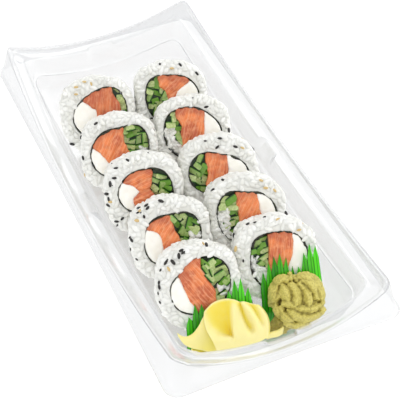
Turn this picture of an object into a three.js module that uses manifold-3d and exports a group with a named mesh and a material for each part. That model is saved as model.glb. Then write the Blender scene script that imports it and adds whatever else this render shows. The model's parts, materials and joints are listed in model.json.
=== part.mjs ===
// A clear takeaway tray with ten inside-out salmon rolls, pickled ginger, wasabi and two grass dividers.
// Millimetres, +Z up. The origin is on the table under the middle of the tray, and +Y runs along the tray.
import * as THREE from "three";
import { mergeVertices } from "three/addons/utils/BufferGeometryUtils.js";
import Module from "manifold-3d";

const wasm = await Module();
wasm.setup();

// Driving dimensions.
const GAP = 0.35;

const TRAY = {
  length: 250.3,
  width: 120,
  sheet: 0.8,
  skirtEdge: 13,
  crestCorner: 30,
  crestLongMiddle: 18.1,
  crestShortMiddle: 16.7,
  saddlePower: 2.1,
  recessHalf: 8,
  recessRamp: 1.8,
  recessDepth: 2.4,
};

const ROLL = {
  thickness: 21.2,
  halfWidth: 19.15,
  halfHeight: 20.2,
  roundness: 2.2,
  tiltDegrees: 38,
  yawDegrees: 17,
  edgeRound: 2.2,
  grainBump: 0.42,
  noriSheet: 0.45,
  around: 24,
  rimBand: 3,
  faceHeight: 30.75,
};

// One row a roll, far end first, measured on its front face with the face's middle as zero. nori holds the
// ring's radius every 45 degrees from the right-hand side round, and a seam runs down the face between two
// layers. The layers lie from left to right in the order cheese, salmon, cucumber on the left-hand rolls
// and the other way round on the right-hand ones. core is the line, as level and slope, under which loose
// rice lies inside the nori.
const ROLLS = [
  {
    name: "l1",
    at: [-28, 45.2],
    nori: [15.9, 17.4, 12.8, 10.9, 13.2, 13.2, 13, 14.6],
    leftSeam: [[-9.5, 9.5], [-4.7, 5.6], [-0.6, 2.4], [0.2, -4], [0, -16]],
    rightSeam: [[7.5, 18], [8.6, 11.2], [11.2, 6], [12.8, 1.5], [13.5, -16]],
  },
  {
    name: "l2",
    at: [-28, 13.2],
    nori: [15.1, 17.2, 12.8, 13.6, 15.1, 14.8, 12, 14],
    leftSeam: [[-18, 7.5], [-9.9, 0.6], [-6.1, -4.4], [-3, -7.8], [-1, -18]],
    rightSeam: [[2.6, 18], [2.6, 4.7], [4.5, 1], [5.3, -2.5], [9, -18]],
  },
  {
    name: "l3",
    at: [-28, -19.4],
    nori: [14.6, 15.1, 12.6, 12.6, 13.1, 11, 10.8, 13.5],
    leftSeam: [[-18, 8], [-6.2, 5.4], [-1.9, 1.8], [-5.6, -1.6], [-5, -4.8], [-3, -16]],
    rightSeam: [[4.5, 18], [4.6, 8], [3, 2.5], [5, -1], [5.5, -6], [7, -16]],
  },
  {
    name: "l4",
    at: [-28, -53.2],
    nori: [14.6, 16.3, 12.6, 13.4, 13.1, 13.8, 11.9, 13.8],
    leftSeam: [[-17, 8.2], [-9.5, 5.6], [-6, 4.4], [-4.1, 0.5], [-4, -6.5], [-3.5, -16]],
    rightSeam: [[0.5, 18], [0.8, 8.5], [3, 3], [4.5, -0.5], [3, -16]],
  },
  {
    name: "l5",
    at: [-28, -85.5],
    nori: [14.8, 16.7, 14.8, 11.4, 13.6, 14, 12.3, 12.8],
    leftSeam: [[-12, 10], [-8.6, 5.4], [-7, 0.4], [-4.5, -5.9], [-2, -9.2], [-1, -16]],
    rightSeam: [[1.6, 19], [1.7, 9.1], [3.9, 3.5], [7.4, -2.1], [7.6, -6], [7, -16]],
  },
  {
    name: "r1",
    at: [13.1, 41],
    nori: [15, 13.9, 12.6, 15.4, 14, 14.2, 12.6, 14],
    leftSeam: [[-7.5, 18], [-6.2, 7.2], [-4.1, 4.7], [-2.4, 1], [-4, -16]],
    rightSeam: [[12, 16], [9.6, 8], [5.9, 5.4], [3.4, 3.6], [0.5, -1], [-1, -16]],
  },
  {
    name: "r2",
    at: [12.7, 10.4],
    nori: [14.4, 13, 14, 16.9, 16.3, 14.8, 12.6, 13.2],
    leftSeam: [[-9, 20], [-8.8, 8.5], [-6, 4.7], [-6.9, 1], [-6.7, -4.6], [-6, -18]],
    rightSeam: [[5, 18], [5.6, 9], [5.2, 2], [4.4, -4], [3, -16]],
    core: { level: -13.5, slope: -1.2 },
  },
  {
    name: "r3",
    at: [12.3, -22.6],
    nori: [14.6, 11.8, 10.9, 15.4, 16.4, 12.4, 11.5, 12.8],
    leftSeam: [[-8, 20], [-6.8, 6], [-6.1, 1], [-7.6, -4], [-8.4, -16]],
    rightSeam: [[2.9, 16], [3.8, 7], [4.3, 3], [3.4, -2], [2, -16]],
  },
  {
    name: "r4",
    at: [12.8, -53.9],
    nori: [14.1, 13.4, 12.1, 16, 15.5, 14.8, 12.5, 13.2],
    leftSeam: [[-6.4, 18], [-5.6, 8.5], [-5, 2], [-4.4, -1], [-4.5, -16]],
    rightSeam: [[4.4, 18], [4.8, 9], [5.3, 5], [6.3, -1], [6.5, -16]],
  },
  {
    name: "r5",
    at: [13.1, -85],
    nori: [14.6, 15.1, 13.5, 14.8, 13.3, 14.8, 13, 14],
    leftSeam: [[-4.6, 18], [-3.9, 6], [-4.2, 0], [-5, -6], [-5, -16]],
    rightSeam: [[7, 18], [7.5, 8], [6.8, 2], [4.5, -3], [3, -16]],
    core: { level: -6, slope: -0.5 },
  },
];

const SEEDS = { perRoll: 4, length: 3.0, width: 1.8, height: 1.1 };

const DIVIDER = { sheet: 0.4, clear: 0.9, kneeDrop: 21.6, toothPitch: 3.1, floorY: -102.9 };

const GINGER_SLICE = 1.2;

// The rosette's centre is given on the right front roll's face: right, up and out of the face.
const WASABI = {
  centre: { right: 6.6, up: -18.2, out: 3.1 },
  radius: 12.9,
  height: 11,
  ridges: 8,
  ridgeDepth: 0.2,
  twist: -1.2,
  rows: 8,
  perRidge: 4,
};

const SMEAR = { centre: [4.2, -104, 8.2], radii: [5, 3.4, 5.2] };

const COLOURS = {
  plastic: 0xe9edee,
  rice: 0xe9ecec,
  nori: 0x241f19,
  salmon: 0xee8a5c,
  cheese: 0xfbfaf3,
  cucumber: 0x8fbb5c,
  ginger: 0xf6e9a6,
  wasabi: 0xc9bb66,
  divider: 0x2fae1f,
};

// ---------- helpers ----------

function makeRandom(seed) {
  let state = seed >>> 0;
  return () => {
    state = (state + 0x6d2b79f5) >>> 0;
    let t = state;
    t = Math.imul(t ^ (t >>> 15), t | 1);
    t ^= t + Math.imul(t ^ (t >>> 7), t | 61);
    return ((t ^ (t >>> 14)) >>> 0) / 4294967296;
  };
}

function material(colour, roughness, opacity = 1) {
  const options = { color: colour, roughness, metalness: 0, flatShading: true };
  if (opacity < 1) {
    options.transparent = true;
    options.opacity = opacity;
  }
  return new THREE.MeshStandardMaterial(options);
}

function geometryOf(points, triangles) {
  const geometry = new THREE.BufferGeometry();
  geometry.setAttribute("position", new THREE.Float32BufferAttribute(points.flat(), 3));
  geometry.setIndex(triangles);
  return geometry;
}

// Rings of equal count, each closed round; neighbours are joined, and wrap joins the last to the first.
function loftRings(rings, wrap) {
  const count = rings[0].length;
  const points = rings.flat();
  const triangles = [];
  const last = wrap ? rings.length : rings.length - 1;
  for (let j = 0; j < last; j += 1) {
    const a = j * count;
    const b = ((j + 1) % rings.length) * count;
    for (let i = 0; i < count; i += 1) {
      const k = (i + 1) % count;
      triangles.push(a + i, a + k, b + k, a + i, b + k, b + i);
    }
  }
  if (!wrap) {
    const start = points.length;
    points.push(meanOf(rings[0]), meanOf(rings[rings.length - 1]));
    const top = (rings.length - 1) * count;
    for (let i = 0; i < count; i += 1) {
      const k = (i + 1) % count;
      triangles.push(start, k, i);
      triangles.push(start + 1, top + i, top + k);
    }
  }
  return geometryOf(points, triangles);
}

function meanOf(ring) {
  const sum = ring.reduce((s, p) => [s[0] + p[0], s[1] + p[1], s[2] + p[2]], [0, 0, 0]);
  return sum.map((value) => value / ring.length);
}

// A thin solid: the surface place(i, j) with a copy of it moved along its normals by the thickness.
function thinSolid(columns, rows, place, thickness) {
  const at = (i, j) => new THREE.Vector3(...place(i / columns, j / rows, i, j));
  const front = [];
  const back = [];
  for (let j = 0; j <= rows; j += 1) {
    for (let i = 0; i <= columns; i += 1) {
      const along = at(Math.min(i + 1, columns), j).sub(at(Math.max(i - 1, 0), j));
      const across = at(i, Math.min(j + 1, rows)).sub(at(i, Math.max(j - 1, 0)));
      const shift = along.cross(across).normalize().multiplyScalar(thickness / 2);
      front.push(at(i, j).add(shift).toArray());
      back.push(at(i, j).sub(shift).toArray());
    }
  }
  const points = front.concat(back);
  const offset = front.length;
  const index = (i, j) => j * (columns + 1) + i;
  const triangles = [];
  for (let j = 0; j < rows; j += 1) {
    for (let i = 0; i < columns; i += 1) {
      const a = index(i, j);
      const b = index(i + 1, j);
      const c = index(i + 1, j + 1);
      const d = index(i, j + 1);
      triangles.push(a, b, c, a, c, d);
      triangles.push(offset + a, offset + c, offset + b, offset + a, offset + d, offset + c);
    }
  }
  const edge = [];
  for (let i = 0; i < columns; i += 1) edge.push(index(i, 0));
  for (let j = 0; j < rows; j += 1) edge.push(index(columns, j));
  for (let i = columns; i > 0; i -= 1) edge.push(index(i, rows));
  for (let j = rows; j > 0; j -= 1) edge.push(index(0, j));
  edge.forEach((a, k) => {
    const b = edge[(k + 1) % edge.length];
    triangles.push(a, offset + a, offset + b, a, offset + b, b);
  });
  return geometryOf(points, triangles);
}

function toManifold(geometry) {
  const bare = geometry.clone();
  bare.deleteAttribute("normal");
  bare.deleteAttribute("uv");
  const merged = mergeVertices(bare, 1e-4);
  const vertProperties = new Float32Array(merged.attributes.position.array);
  const triVerts = new Uint32Array(merged.index.array);
  return new wasm.Manifold(new wasm.Mesh({ numProp: 3, vertProperties, triVerts }));
}

function fromManifold(solid) {
  const mesh = solid.getMesh();
  const geometry = new THREE.BufferGeometry();
  geometry.setAttribute("position", new THREE.BufferAttribute(new Float32Array(mesh.vertProperties), 3));
  geometry.setIndex(new THREE.BufferAttribute(new Uint32Array(mesh.triVerts), 1));
  return geometry;
}

function fuse(geometries) {
  const solids = geometries.map(toManifold);
  return fromManifold(solids.reduce((all, next) => all.add(next)));
}

// A smooth curve through four values in a row, read between the middle two.
function curveThrough([a, b, c, d], t) {
  const square = t * t;
  const cube = square * t;
  const ends = (2 * cube - 3 * square + 1) * b + (3 * square - 2 * cube) * c;
  return ends + ((cube - 2 * square + t) * (c - a)) / 2 + ((cube - square) * (d - b)) / 2;
}

function smoothStep(low, high, value) {
  const t = THREE.MathUtils.clamp((value - low) / (high - low), 0, 1);
  return t * t * (3 - 2 * t);
}

// ---------- tray ----------

// Stations round the rim: which side, how far along it, and the direction that faces out.
function rimStations() {
  const longFractions = [-1, -0.82, -0.58, -0.32, -0.087, -0.069, 0.069, 0.087, 0.32, 0.58, 0.82, 1];
  const shortFractions = [-1, -0.72, -0.42, -0.196, -0.156, 0.156, 0.196, 0.42, 0.72, 1];
  const cornerSteps = 4;
  const stations = [];
  for (let side = 0; side < 4; side += 1) {
    const long = side % 2 === 0;
    const facing = (side * Math.PI) / 2;
    for (const fraction of long ? longFractions : shortFractions) {
      stations.push({ side, long, fraction, angle: facing });
    }
    for (let k = 1; k < cornerSteps; k += 1) {
      stations.push({ side, long, fraction: 1, angle: facing + (k / cornerSteps) * (Math.PI / 2) });
    }
  }
  return stations;
}

// A point of one rim ring at a station. The ring is a rounded rectangle whose sides bow out and dip.
function ringPoint(ring, station) {
  const cos = Math.cos(station.angle);
  const sin = Math.sin(station.angle);
  const cornerX = ring.halfX - ring.radius;
  const cornerY = ring.halfY - ring.radius;
  const facing = (station.side * Math.PI) / 2;
  const normal = [Math.cos(facing), Math.sin(facing)];
  const tangent = [-normal[1], normal[0]];
  const along = station.fraction * (station.long ? cornerY : cornerX);
  const out = station.long ? cornerX : cornerY;
  let x = normal[0] * out + tangent[0] * along + ring.radius * cos;
  let y = normal[1] * out + tangent[1] * along + ring.radius * sin;
  const dipX = Math.min(1, Math.abs(x) / ring.halfX) ** TRAY.saddlePower;
  const dipY = Math.min(1, Math.abs(y) / ring.halfY) ** TRAY.saddlePower;
  const turn = (station.angle - facing) / (Math.PI / 2);
  const longShare = station.long ? 1 - turn : turn;
  const zLong = ring.zLong + (ring.zCorner - ring.zLong) * dipY;
  const zShort = ring.zShort + (ring.zCorner - ring.zShort) * dipX;
  const bow = station.long ? ring.bowLong * (1 - dipY) : ring.bowShort * (1 - dipX);
  const reach = Math.abs(along);
  const inRecess = 1 - smoothStep(TRAY.recessHalf - TRAY.recessRamp / 2, TRAY.recessHalf, reach);
  const push = bow * (1 - turn) + (ring.recess ?? 0) * inRecess;
  x += cos * push;
  y += sin * push;
  return [x, y, zLong * longShare + zShort * (1 - longShare)];
}

// Rings from the skirt's edge over the crest, down the well wall to the floor, on the upper side.
function trayRings() {
  const t = TRAY;
  const halfX = t.width / 2;
  const halfY = t.length / 2;
  const ring = (inset, radius, corner, long, short, bow = 0, recess = 0) => ({
    halfX: halfX - inset,
    halfY: halfY - inset,
    radius,
    zCorner: corner,
    zLong: long,
    zShort: short,
    bowLong: 3.3 * bow,
    bowShort: 3.7 * bow,
    recess,
  });
  const top = t.crestCorner;
  const long = t.crestLongMiddle;
  const short = t.crestShortMiddle;
  return [
    ring(0, 6.5, t.skirtEdge, t.skirtEdge, t.skirtEdge),
    ring(1.2, 6.2, t.skirtEdge + 0.7, t.skirtEdge + 0.7, t.skirtEdge + 0.7),
    ring(4.6, 5.4, top - 0.8, long - 0.6, short - 0.6, 1),
    ring(5.6, 5.2, top, long, short, 1),
    ring(6.9, 5, top - 0.5, long - 0.3, short - 0.3, 1),
    ring(7.9, 5, top - 2.9, long - 1.6, short - 1.4, 1),
    ring(11.2, 5.5, top - 5.2, long - 2.1, short - 1.8, 0.95, t.recessDepth * 0.85),
    ring(12.4, 6, top - 4.9, long - 1.7, short - 1.3, 0.85, t.recessDepth),
    ring(13.6, 7, top - 7, long - 2.8, short - 2.2, 0.65, t.recessDepth),
    ring(15.1, 8, 14.6, 7.2, 6.6, 0.45),
    ring(16.2, 8.4, 13.6, 6.3, 5.7, 0.3),
    ring(17.3, 9, 3.4, 3.2, 3.2, 0.1),
    ring(19.4, 8, t.sheet, t.sheet, t.sheet),
  ];
}

// The lower side is the upper one moved by the sheet's thickness, square to the section at each station.
function offsetSection(section, outward, thickness) {
  const flat = section.map((p) => [p[0] * outward[0] + p[1] * outward[1], p[2]]);
  return section.map((p, k) => {
    const before = flat[Math.max(k - 1, 0)];
    const here = flat[k];
    const after = flat[Math.min(k + 1, flat.length - 1)];
    const a = unit(here[0] - before[0], here[1] - before[1]);
    const b = unit(after[0] - here[0], after[1] - here[1]);
    const first = k === 0 ? b : a;
    const second = k === flat.length - 1 ? [-1, 0] : b;
    const normalA = [-first[1], first[0]];
    const normalB = [-second[1], second[0]];
    const sum = unit(normalA[0] + normalB[0], normalA[1] + normalB[1]);
    const mitre = Math.min(1.5, 1 / Math.max(0.5, sum[0] * normalA[0] + sum[1] * normalA[1]));
    const move = thickness * mitre;
    return [p[0] + outward[0] * sum[0] * move, p[1] + outward[1] * sum[0] * move, p[2] + sum[1] * move];
  });
}

function unit(x, y) {
  const length = Math.hypot(x, y) || 1;
  return [x / length, y / length];
}

function buildTray() {
  const stations = rimStations();
  const rings = trayRings();
  const upper = stations.map((station) => rings.map((ring) => ringPoint(ring, station)));
  const lower = stations.map((station, i) => {
    const outward = [Math.cos(station.angle), Math.sin(station.angle)];
    return offsetSection(upper[i], outward, TRAY.sheet);
  });
  const floorRow = rings.length - 1;
  lower.forEach((section) => {
    section[floorRow][2] = 0;
  });
  const pick = (sections, row) => sections.map((section) => section[row]);
  const rows = [];
  for (let row = floorRow; row >= 0; row -= 1) rows.push(pick(upper, row));
  for (let row = 0; row <= floorRow; row += 1) rows.push(pick(lower, row));
  const geometry = loftRings(rows.reverse(), false);
  return new THREE.Mesh(geometry, material(COLOURS.plastic, 0.12, 0.35));
}

// ---------- rolls ----------

// Radius of a rounded outline in direction angle.
function outlineRadius(halfWidth, halfHeight, power, angle) {
  const x = Math.abs(Math.cos(angle)) / halfWidth;
  const y = Math.abs(Math.sin(angle)) / halfHeight;
  return (x ** power + y ** power) ** (-1 / power);
}

// The nori ring of a roll runs smoothly through its radii and keeps clear of the rice's rim.
function noriRadius(roll, angle, inset = 0) {
  const count = roll.nori.length;
  const place = (angle / (2 * Math.PI)) * count;
  const k = Math.floor(place);
  const near = [-1, 0, 1, 2].map((step) => roll.nori[(k + step + count) % count]);
  const radius = curveThrough(near, place - k);
  const outer = outlineRadius(ROLL.halfWidth, ROLL.halfHeight, ROLL.roundness, angle);
  return Math.min(radius, outer - ROLL.rimBand) - inset;
}

function noriOutline(roll, inset) {
  const outline = [];
  for (let i = 0; i < ROLL.around; i += 1) {
    const angle = (i / ROLL.around) * 2 * Math.PI;
    const radius = noriRadius(roll, angle, inset);
    outline.push([radius * Math.cos(angle), radius * Math.sin(angle)]);
  }
  return outline;
}

function prism(polygon, front, depth) {
  const shape = new THREE.Shape(polygon.map((p) => new THREE.Vector2(p[0], p[1])));
  const geometry = new THREE.ExtrudeGeometry(shape, { depth, bevelEnabled: false });
  geometry.translate(0, 0, front - depth);
  return geometry;
}

// A seam moved sideways, to the right when distance is above zero.
function offsetSeam(seam, distance) {
  return seam.map((p, k) => {
    const q = seam[Math.max(k - 1, 0)];
    const r = seam[Math.min(k + 1, seam.length - 1)];
    const after = k === seam.length - 1 ? unit(p[0] - q[0], p[1] - q[1]) : unit(r[0] - p[0], r[1] - p[1]);
    const before = k === 0 ? after : unit(p[0] - q[0], p[1] - q[1]);
    const middle = unit(-before[1] - after[1], before[0] + after[0]);
    const mitre = distance / Math.max(0.5, middle[1] * before[0] - middle[0] * before[1]);
    return [p[0] + middle[0] * mitre, p[1] + middle[1] * mitre];
  });
}

// Everything to the left (side -1) or to the right (side 1) of a seam, as a solid that cuts.
function beside(seam, side, distance) {
  const far = 60 * side;
  const edge = offsetSeam(seam, distance);
  return toManifold(prism([[far, 60], [edge[0][0], 60], ...edge, [edge.at(-1)[0], -60], [far, -60]], 5, 40));
}

// The rice: a thick uneven ring with rounded edges, its hole shaped by the nori.
function riceGeometry(roll) {
  const random = makeRandom(roll.seed);
  const count = ROLL.around;
  const depth = ROLL.thickness;
  const r = ROLL.edgeRound;
  const profile = [
    { lift: -r, z: -0.35, bump: 0.35 },
    { lift: 0, z: -r, bump: 0.8 },
    { lift: 0.1, z: -depth * 0.34, bump: 1 },
    { lift: 0.1, z: -depth * 0.64, bump: 1 },
    { lift: 0, z: -depth + r, bump: 0.8 },
    { lift: -r, z: -depth + 0.35, bump: 0.35 },
  ];
  const rings = [];
  const hole = (z) => {
    const ring = [];
    for (let i = 0; i < count; i += 1) {
      const angle = (i / count) * 2 * Math.PI;
      const radius = noriRadius(roll, angle) + GAP;
      ring.push([radius * Math.cos(angle), radius * Math.sin(angle), z]);
    }
    return ring;
  };
  rings.push(hole(-depth));
  rings.push(hole(0));
  profile.forEach((row, k) => {
    const ring = [];
    for (let i = 0; i < count; i += 1) {
      const angle = ((i + 0.5 * (k % 2)) / count) * 2 * Math.PI;
      const bump = ROLL.grainBump * row.bump * (2 * random() - 1);
      const outer = outlineRadius(ROLL.halfWidth, ROLL.halfHeight, ROLL.roundness, angle);
      const radius = outer + row.lift + bump;
      const z = row.z + (k === 0 || k === profile.length - 1 ? 0.3 * (2 * random() - 1) : 0);
      ring.push([radius * Math.cos(angle), radius * Math.sin(angle), z]);
    }
    rings.push(ring);
  });
  return loftRings(rings.reverse(), true);
}

// A seed lies flat on the rice, sunk by a third of its height.
function seedGeometry(roll, random, k) {
  const angle = Math.PI * (0.12 + (0.76 * (k + random() * 0.6)) / SEEDS.perRoll);
  const z = -ROLL.edgeRound - random() * 4.5;
  const radius = outlineRadius(ROLL.halfWidth, ROLL.halfHeight, ROLL.roundness, angle);
  const seed = new THREE.OctahedronGeometry(1, 0);
  seed.scale(SEEDS.length / 2, SEEDS.width / 2, SEEDS.height / 2);
  seed.rotateZ(random() * Math.PI);
  seed.rotateY(Math.PI / 2);
  seed.rotateZ(angle);
  seed.translate((radius - 0.35) * Math.cos(angle), (radius - 0.35) * Math.sin(angle), z);
  return seed;
}

function noriGeometry(roll) {
  const outer = noriOutline(roll, 0);
  const inner = noriOutline(roll, ROLL.noriSheet);
  const front = -0.15;
  const back = -ROLL.thickness + 0.15;
  const at = (outline, z) => outline.map((p) => [p[0], p[1], z]);
  const rings = [at(inner, back), at(inner, front), at(outer, front), at(outer, back)];
  return loftRings(rings.reverse(), true);
}

// Square cucumber sticks, one above the other between the seam and the ring, joined into one bundle.
function cucumberBundle(roll, onLeft) {
  const random = makeRandom(roll.seed + 7);
  const seam = onLeft ? roll.leftSeam : roll.rightSeam;
  const sticks = [];
  for (const v of [8.6, 2.2, -4.4]) {
    const k = Math.max(1, seam.findIndex((p) => p[1] < v));
    const [upper, lower] = [seam[k - 1], seam[k]];
    const seamAt = upper[0] + ((lower[0] - upper[0]) * (v - upper[1])) / (lower[1] - upper[1]);
    const ringAt = (onLeft ? -1 : 1) * Math.sqrt(Math.max(30, 15 ** 2 - v ** 2));
    const width = 5 + 0.55 * Math.abs(ringAt - seamAt);
    const stick = new THREE.BoxGeometry(width, 7.6, ROLL.thickness - 0.9);
    stick.rotateZ((random() - 0.5) * 0.7);
    stick.translate((seamAt + ringAt) / 2, v, -ROLL.thickness / 2 + 0.5 * (random() - 0.5));
    sticks.push(stick);
  }
  return sticks.map(toManifold).reduce((all, next) => all.add(next));
}

// Cheese, salmon and cucumber share the ring's inside. Each is what its seams leave of it.
function fillings(roll) {
  const onLeft = roll.at[0] > 0;
  const hollow = noriOutline(roll, ROLL.noriSheet + GAP);
  const inside = (inset) => toManifold(prism(hollow, -inset, ROLL.thickness - 2 * inset));
  const left = beside(roll.leftSeam, -1, -GAP / 2);
  const right = beside(roll.rightSeam, 1, GAP / 2);
  const notMiddle = beside(roll.leftSeam, -1, GAP / 2).add(beside(roll.rightSeam, 1, -GAP / 2));
  let bundle = cucumberBundle(roll, onLeft).intersect(onLeft ? left : right).intersect(inside(-1));
  const pieces = {};
  if (roll.core) {
    pieces.core = fromManifold(inside(0.3).intersect(left).intersect(underCoreLine(roll.core, -GAP / 2)));
    bundle = bundle.subtract(underCoreLine(roll.core, GAP / 2));
  }
  pieces.cheese = fromManifold(inside(0.25).intersect(onLeft ? right : left));
  pieces.salmon = fromManifold(inside(0.1).subtract(notMiddle));
  pieces.cucumber = fromManifold(bundle);
  return pieces;
}

function underCoreLine(core, shift) {
  const height = (u) => core.level + core.slope * u + shift * Math.hypot(1, core.slope);
  return toManifold(prism([[-30, -60], [10, -60], [10, height(10)], [-30, height(-30)]], 5, 40));
}

function buildRoll(roll, number) {
  roll.seed = 1009 + 37 * number;
  const random = makeRandom(roll.seed + 3);
  const rice = [riceGeometry(roll)];
  for (let k = 0; k < SEEDS.perRoll; k += 1) rice.push(seedGeometry(roll, random, k));
  const layers = { rice: fuse(rice), nori: noriGeometry(roll), ...fillings(roll) };
  const looks = {
    rice: () => material(COLOURS.rice, 0.55),
    core: () => material(COLOURS.rice, 0.55),
    nori: () => material(COLOURS.nori, 0.6),
    cheese: () => material(COLOURS.cheese, 0.45),
    salmon: () => material(COLOURS.salmon, 0.4),
    cucumber: () => material(COLOURS.cucumber, 0.4),
  };
  const group = new THREE.Group();
  for (const [layer, geometry] of Object.entries(layers)) {
    const mesh = new THREE.Mesh(geometry, looks[layer]());
    mesh.name = `roll_${roll.name}_${layer}`;
    group.add(mesh);
  }
  group.rotation.x = Math.PI / 2 - THREE.MathUtils.degToRad(ROLL.tiltDegrees);
  const place = new THREE.Group();
  place.rotation.z = -THREE.MathUtils.degToRad(ROLL.yawDegrees);
  place.position.set(roll.at[0], roll.at[1], ROLL.faceHeight);
  place.add(group);
  return place;
}

// ---------- things that lean on the two front rolls ----------

function rollNamed(name) {
  return ROLLS.find((roll) => roll.name === name);
}

// World place of a point given in the frame of a roll's front face: right, up the face, out of the face.
function facePlace(roll, right, up, out) {
  const tilt = THREE.MathUtils.degToRad(ROLL.tiltDegrees);
  const yaw = THREE.MathUtils.degToRad(ROLL.yawDegrees);
  const local = new THREE.Vector3(right, up, out);
  local.applyAxisAngle(new THREE.Vector3(1, 0, 0), Math.PI / 2 - tilt);
  local.applyAxisAngle(new THREE.Vector3(0, 0, 1), -yaw);
  return [roll.at[0] + local.x, roll.at[1] + local.y, ROLL.faceHeight + local.z];
}

// A grass divider stands on the floor, bends at the roll's lower edge and leans on its face. It narrows
// upwards by taper at its right-hand end.
function dividerGeometry(roll, from, to, taper, toothTop) {
  const teeth = Math.round((to - from) / DIVIDER.toothPitch);
  const columns = teeth * 2;
  const rows = 4;
  const place = (s, _, i, j) => {
    const right = from + (to - from) * s - (taper * s * Math.max(0, j - 1)) / (rows - 1);
    const wave = 0.45 * Math.sin(right * 0.55) + 0.25 * (i % 2);
    const out = DIVIDER.clear + 0.45 + wave;
    const knee = facePlace(roll, right, -DIVIDER.kneeDrop, out);
    if (j === 0) return [knee[0], Math.max(knee[1], DIVIDER.floorY), TRAY.sheet + GAP + 0.25];
    if (j === 1) return knee;
    const peak = toothTop(s);
    const notch = Math.min(7, 0.4 * (peak + DIVIDER.kneeDrop));
    const valley = peak - notch - Math.sin(3.1 * i);
    const top = i % 2 === 1 ? peak + 1.2 * Math.sin(2.3 * i) : valley;
    const up = -DIVIDER.kneeDrop + ((top + DIVIDER.kneeDrop) * (j - 1)) / (rows - 1);
    return facePlace(roll, right, up, out);
  };
  return thinSolid(columns, rows, place, DIVIDER.sheet);
}

function buildDividers() {
  const left = rollNamed("l5");
  const right = rollNamed("r5");
  const green = () => material(COLOURS.divider, 0.35);
  const leftTop = (s) => {
    const start = -15 + 9 * smoothStep(0, 0.2, s) - 2 * smoothStep(0.25, 0.4, s);
    return start + 11 * smoothStep(0.5, 0.75, s) - 4.7 * smoothStep(0.8, 1, s);
  };
  const rightTop = (s) => {
    const start = -6 + 10 * smoothStep(0, 0.3, s) - 4.5 * smoothStep(0.3, 0.55, s);
    return start + 6.5 * smoothStep(0.6, 0.85, s);
  };
  const nearGinger = new THREE.Mesh(dividerGeometry(left, -7.5, 24, 0, leftTop), green());
  nearGinger.name = "divider_ginger";
  const nearWasabi = new THREE.Mesh(dividerGeometry(right, -9.5, 20.5, 1.6, rightTop), green());
  nearWasabi.name = "divider_wasabi";
  return [nearGinger, nearWasabi];
}

// Piped wasabi: a dome whose ridges twist as they rise, lying against the right-hand divider, with the
// smear it was spooned from at its foot.
function buildWasabi() {
  const roll = rollNamed("r5");
  const w = WASABI;
  const count = w.ridges * w.perRidge;
  const centre = w.centre;
  const rings = [];
  for (let j = 0; j <= w.rows; j += 1) {
    const t = j / w.rows;
    const spread = j === 0 ? 0.8 : Math.cos((Math.PI / 2) * Math.max(0, (t - 0.12) / 0.96)) ** 0.62;
    const ring = [];
    for (let i = 0; i < count; i += 1) {
      const angle = (i / count) * 2 * Math.PI;
      const ridge = Math.cos(w.ridges * angle);
      const radius = w.radius * spread * (1 - w.ridgeDepth * (0.5 - 0.5 * ridge));
      const turned = angle + w.twist * t;
      const right = centre.right + radius * Math.cos(turned) - 0.6 * t;
      const up = centre.up + radius * Math.sin(turned) - 3 * t;
      ring.push(facePlace(roll, right, up, centre.out + w.height * t));
    }
    rings.push(ring);
  }
  const smear = new THREE.IcosahedronGeometry(1, 1);
  smear.scale(...SMEAR.radii);
  smear.translate(...SMEAR.centre);
  const paste = fuse([loftRings(rings, false), smear]);
  const mesh = new THREE.Mesh(paste, material(COLOURS.wasabi, 0.6));
  mesh.name = "wasabi";
  return mesh;
}

// ---------- ginger ----------

// A slice drawn as a net of points in the frame of the left front roll's face, rows from rim to foot.
const HOOD = [
  [[1.2, -9.6, 6], [1.1, -15.8, 8.5], [2.5, -21.2, 8.6], [5, -29.5, 4]],
  [[5.4, -7.2, 4.5], [5.6, -15.6, 5.2], [7.6, -21.3, 6.6], [8.5, -29.3, 3.8]],
  [[10.3, -5.1, 3.7], [9.6, -16.3, 3.6], [11.4, -21.6, 5], [11.5, -29, 3.6]],
  [[14, -5.3, 3.7], [13, -15.2, 3.8], [13.4, -21.2, 5.4], [14, -28.6, 3.6]],
  [[15.8, -6.6, 5.4], [15.2, -13.2, 8.6], [15.3, -20.6, 8.6], [16.5, -28, 3.5]],
  [[18.3, -8.6, 4], [18.8, -13.9, 4.4], [19.6, -20.2, 6.2], [19, -27.4, 3.4]],
  [[21.3, -8.6, 3.6], [21.2, -15.6, 3.9], [22.6, -20.6, 5], [21.5, -26.8, 3.2]],
  [[23.6, -10.2, 5.2], [24, -15, 6.4], [24.7, -19, 5.8], [24.2, -26.2, 2.8]],
  [[27.4, -10.4, 3.6], [28.7, -14.6, 3.6], [29, -19.2, 2.8], [27, -25.8, 1.4]],
];

const WING = [
  [[-12, -18.9, 5], [-11.6, -20.4, 5.2], [-11, -22.2, 5.2]],
  [[-9.2, -21.3, 4.6], [-8.6, -23.6, 5.6], [-8, -26, 5.4]],
  [[-5, -21.9, 3.9], [-4.8, -25, 5.6], [-4.6, -28.6, 5.4]],
  [[-2.4, -20.2, 3.7], [-2.2, -24.6, 5], [-1.6, -29.2, 5]],
  [[-0.6, -15.6, 3.7], [-0.2, -22, 4.4], [1.2, -28.6, 4.4]],
];

// The value at part s, from 0 to 1, of a smooth curve through a list of values.
function curveAt(values, s) {
  const last = values.length - 1;
  const k = Math.min(Math.floor(s * last), last - 1);
  const near = [-1, 0, 1, 2].map((step) => values[THREE.MathUtils.clamp(k + step, 0, last)]);
  return curveThrough(near, s * last - k);
}

function netSlice(net, columns, rows) {
  const place = (s, t) => {
    const parts = [0, 1, 2].map((axis) => {
      const line = net.map((column) => curveAt(column.map((point) => point[axis]), t));
      return curveAt(line, s);
    });
    return facePlace(rollNamed("l5"), ...parts);
  };
  return thinSolid(columns, rows, place, GINGER_SLICE);
}

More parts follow.
